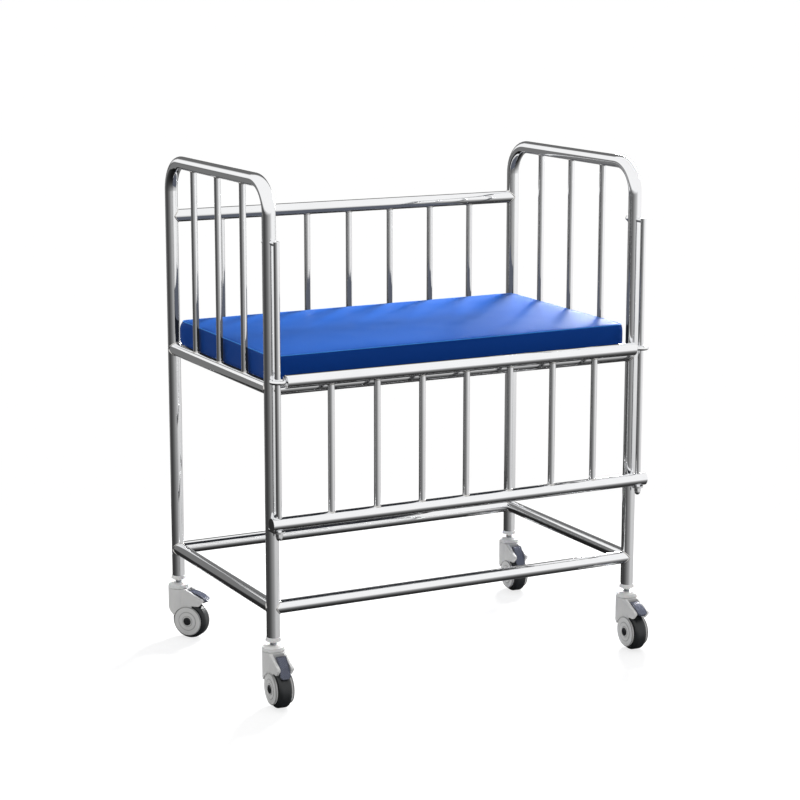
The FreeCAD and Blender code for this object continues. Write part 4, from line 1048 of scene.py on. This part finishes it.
def backdrop(scene, studio):
    """White behind the crib; for glossy rays, a painted reflection of a studio that darkens downward and to
    the left.
    """
    world = bpy.data.worlds.new("studio")
    scene.world = world
    world.use_nodes = True
    nodes, links = world.node_tree.nodes, world.node_tree.links
    nodes.clear()
    heading = nodes.new("ShaderNodeTexCoord").outputs["Generated"]
    rise = along(nodes, links, heading, (0, 0, 1))
    height_tone = ramp_of(nodes, links, rise, DOWNWARD_TONES)
    side_tone = ramp_of(nodes, links, along(nodes, links, heading, BRIGHT_SIDE), SIDE_TONES)
    above = ramp_of(nodes, links, rise, ABOVE_TONES)
    upper_patch = ramp_of(nodes, links, along(nodes, links, heading, UPPER_PATCH), UPPER_PATCH_TONES)
    lower_patch = ramp_of(nodes, links, along(nodes, links, heading, LOWER_PATCH), LOWER_PATCH_TONES)
    tone = add_math(nodes, links, "MULTIPLY", height_tone, side_tone)
    tone = add_math(nodes, links, "MAXIMUM", tone, above)
    for patch in (upper_patch, lower_patch):
        tone = add_math(nodes, links, "MULTIPLY", tone, patch)
    # Painted reflection: only glossy rays see these tones, darker downward and to the left, with two dark
    # patches.
    mirrored = nodes.new("ShaderNodeBackground")
    links.new(tone, mirrored.inputs["Color"])
    light = nodes.new("ShaderNodeBackground")
    light.inputs["Color"].default_value = (1, 1, 1, 1)
    light.inputs["Strength"].default_value = studio.fill
    white = nodes.new("ShaderNodeBackground")
    white.inputs["Color"].default_value = (1, 1, 1, 1)
    glossy = nodes.new("ShaderNodeMixShader")
    links.new(rays_of(nodes, links, ("Is Glossy Ray",)), glossy.inputs["Fac"])
    links.new(light.outputs["Background"], glossy.inputs[1])
    links.new(mirrored.outputs["Background"], glossy.inputs[2])
    pick = nodes.new("ShaderNodeMixShader")
    links.new(rays_of(nodes, links, ("Is Camera Ray", "Is Transmission Ray")), pick.inputs["Fac"])
    links.new(glossy.outputs["Shader"], pick.inputs[1])
    links.new(white.outputs["Background"], pick.inputs[2])
    output = nodes.new("ShaderNodeOutputWorld")
    links.new(pick.outputs["Shader"], output.inputs["Surface"])


OPERATORS = (
    BASSINET_OT_steel_frame,
    BASSINET_OT_drop_gate,
    BASSINET_OT_guide_rods,
    BASSINET_OT_mattress,
    BASSINET_OT_casters,
    BASSINET_OT_studio,
)


class BASSINET_PT_finish(bpy.types.Panel):
    """Lists what can be made and changed"""
    bl_label = "Hospital Bassinet"
    bl_idname = "BASSINET_PT_finish"
    bl_space_type = "VIEW_3D"
    bl_region_type = "UI"
    bl_category = "Bassinet"

    def draw(self, context):
        for owner in GROUPS:
            group = getattr(context.scene, owner)
            box = self.layout.box()
            for name in group.__annotations__:
                box.prop(group, name)
        for operator in OPERATORS:
            self.layout.operator(operator.bl_idname)


GROUPS = {
    "bassinet_finish": BassinetFinish,
    "bassinet_sizes": BassinetSizes,
    "bassinet_studio": BassinetStudio,
}


def register():
    for group in GROUPS.values():
        bpy.utils.register_class(group)
    for name, group in GROUPS.items():
        setattr(bpy.types.Scene, name, bpy.props.PointerProperty(type=group))
    for operator in OPERATORS:
        bpy.utils.register_class(operator)
    bpy.utils.register_class(BASSINET_PT_finish)


def unregister():
    bpy.utils.unregister_class(BASSINET_PT_finish)
    for operator in reversed(OPERATORS):
        bpy.utils.unregister_class(operator)
    for name in GROUPS:
        delattr(bpy.types.Scene, name)
    for group in reversed(GROUPS.values()):
        bpy.utils.unregister_class(group)


def main():
    """Make every piece in order."""
    register()
    for operator in OPERATORS:
        group, name = operator.bl_idname.split(".")
        getattr(getattr(bpy.ops, group), name)()


if __name__ == "__main__":
    main()
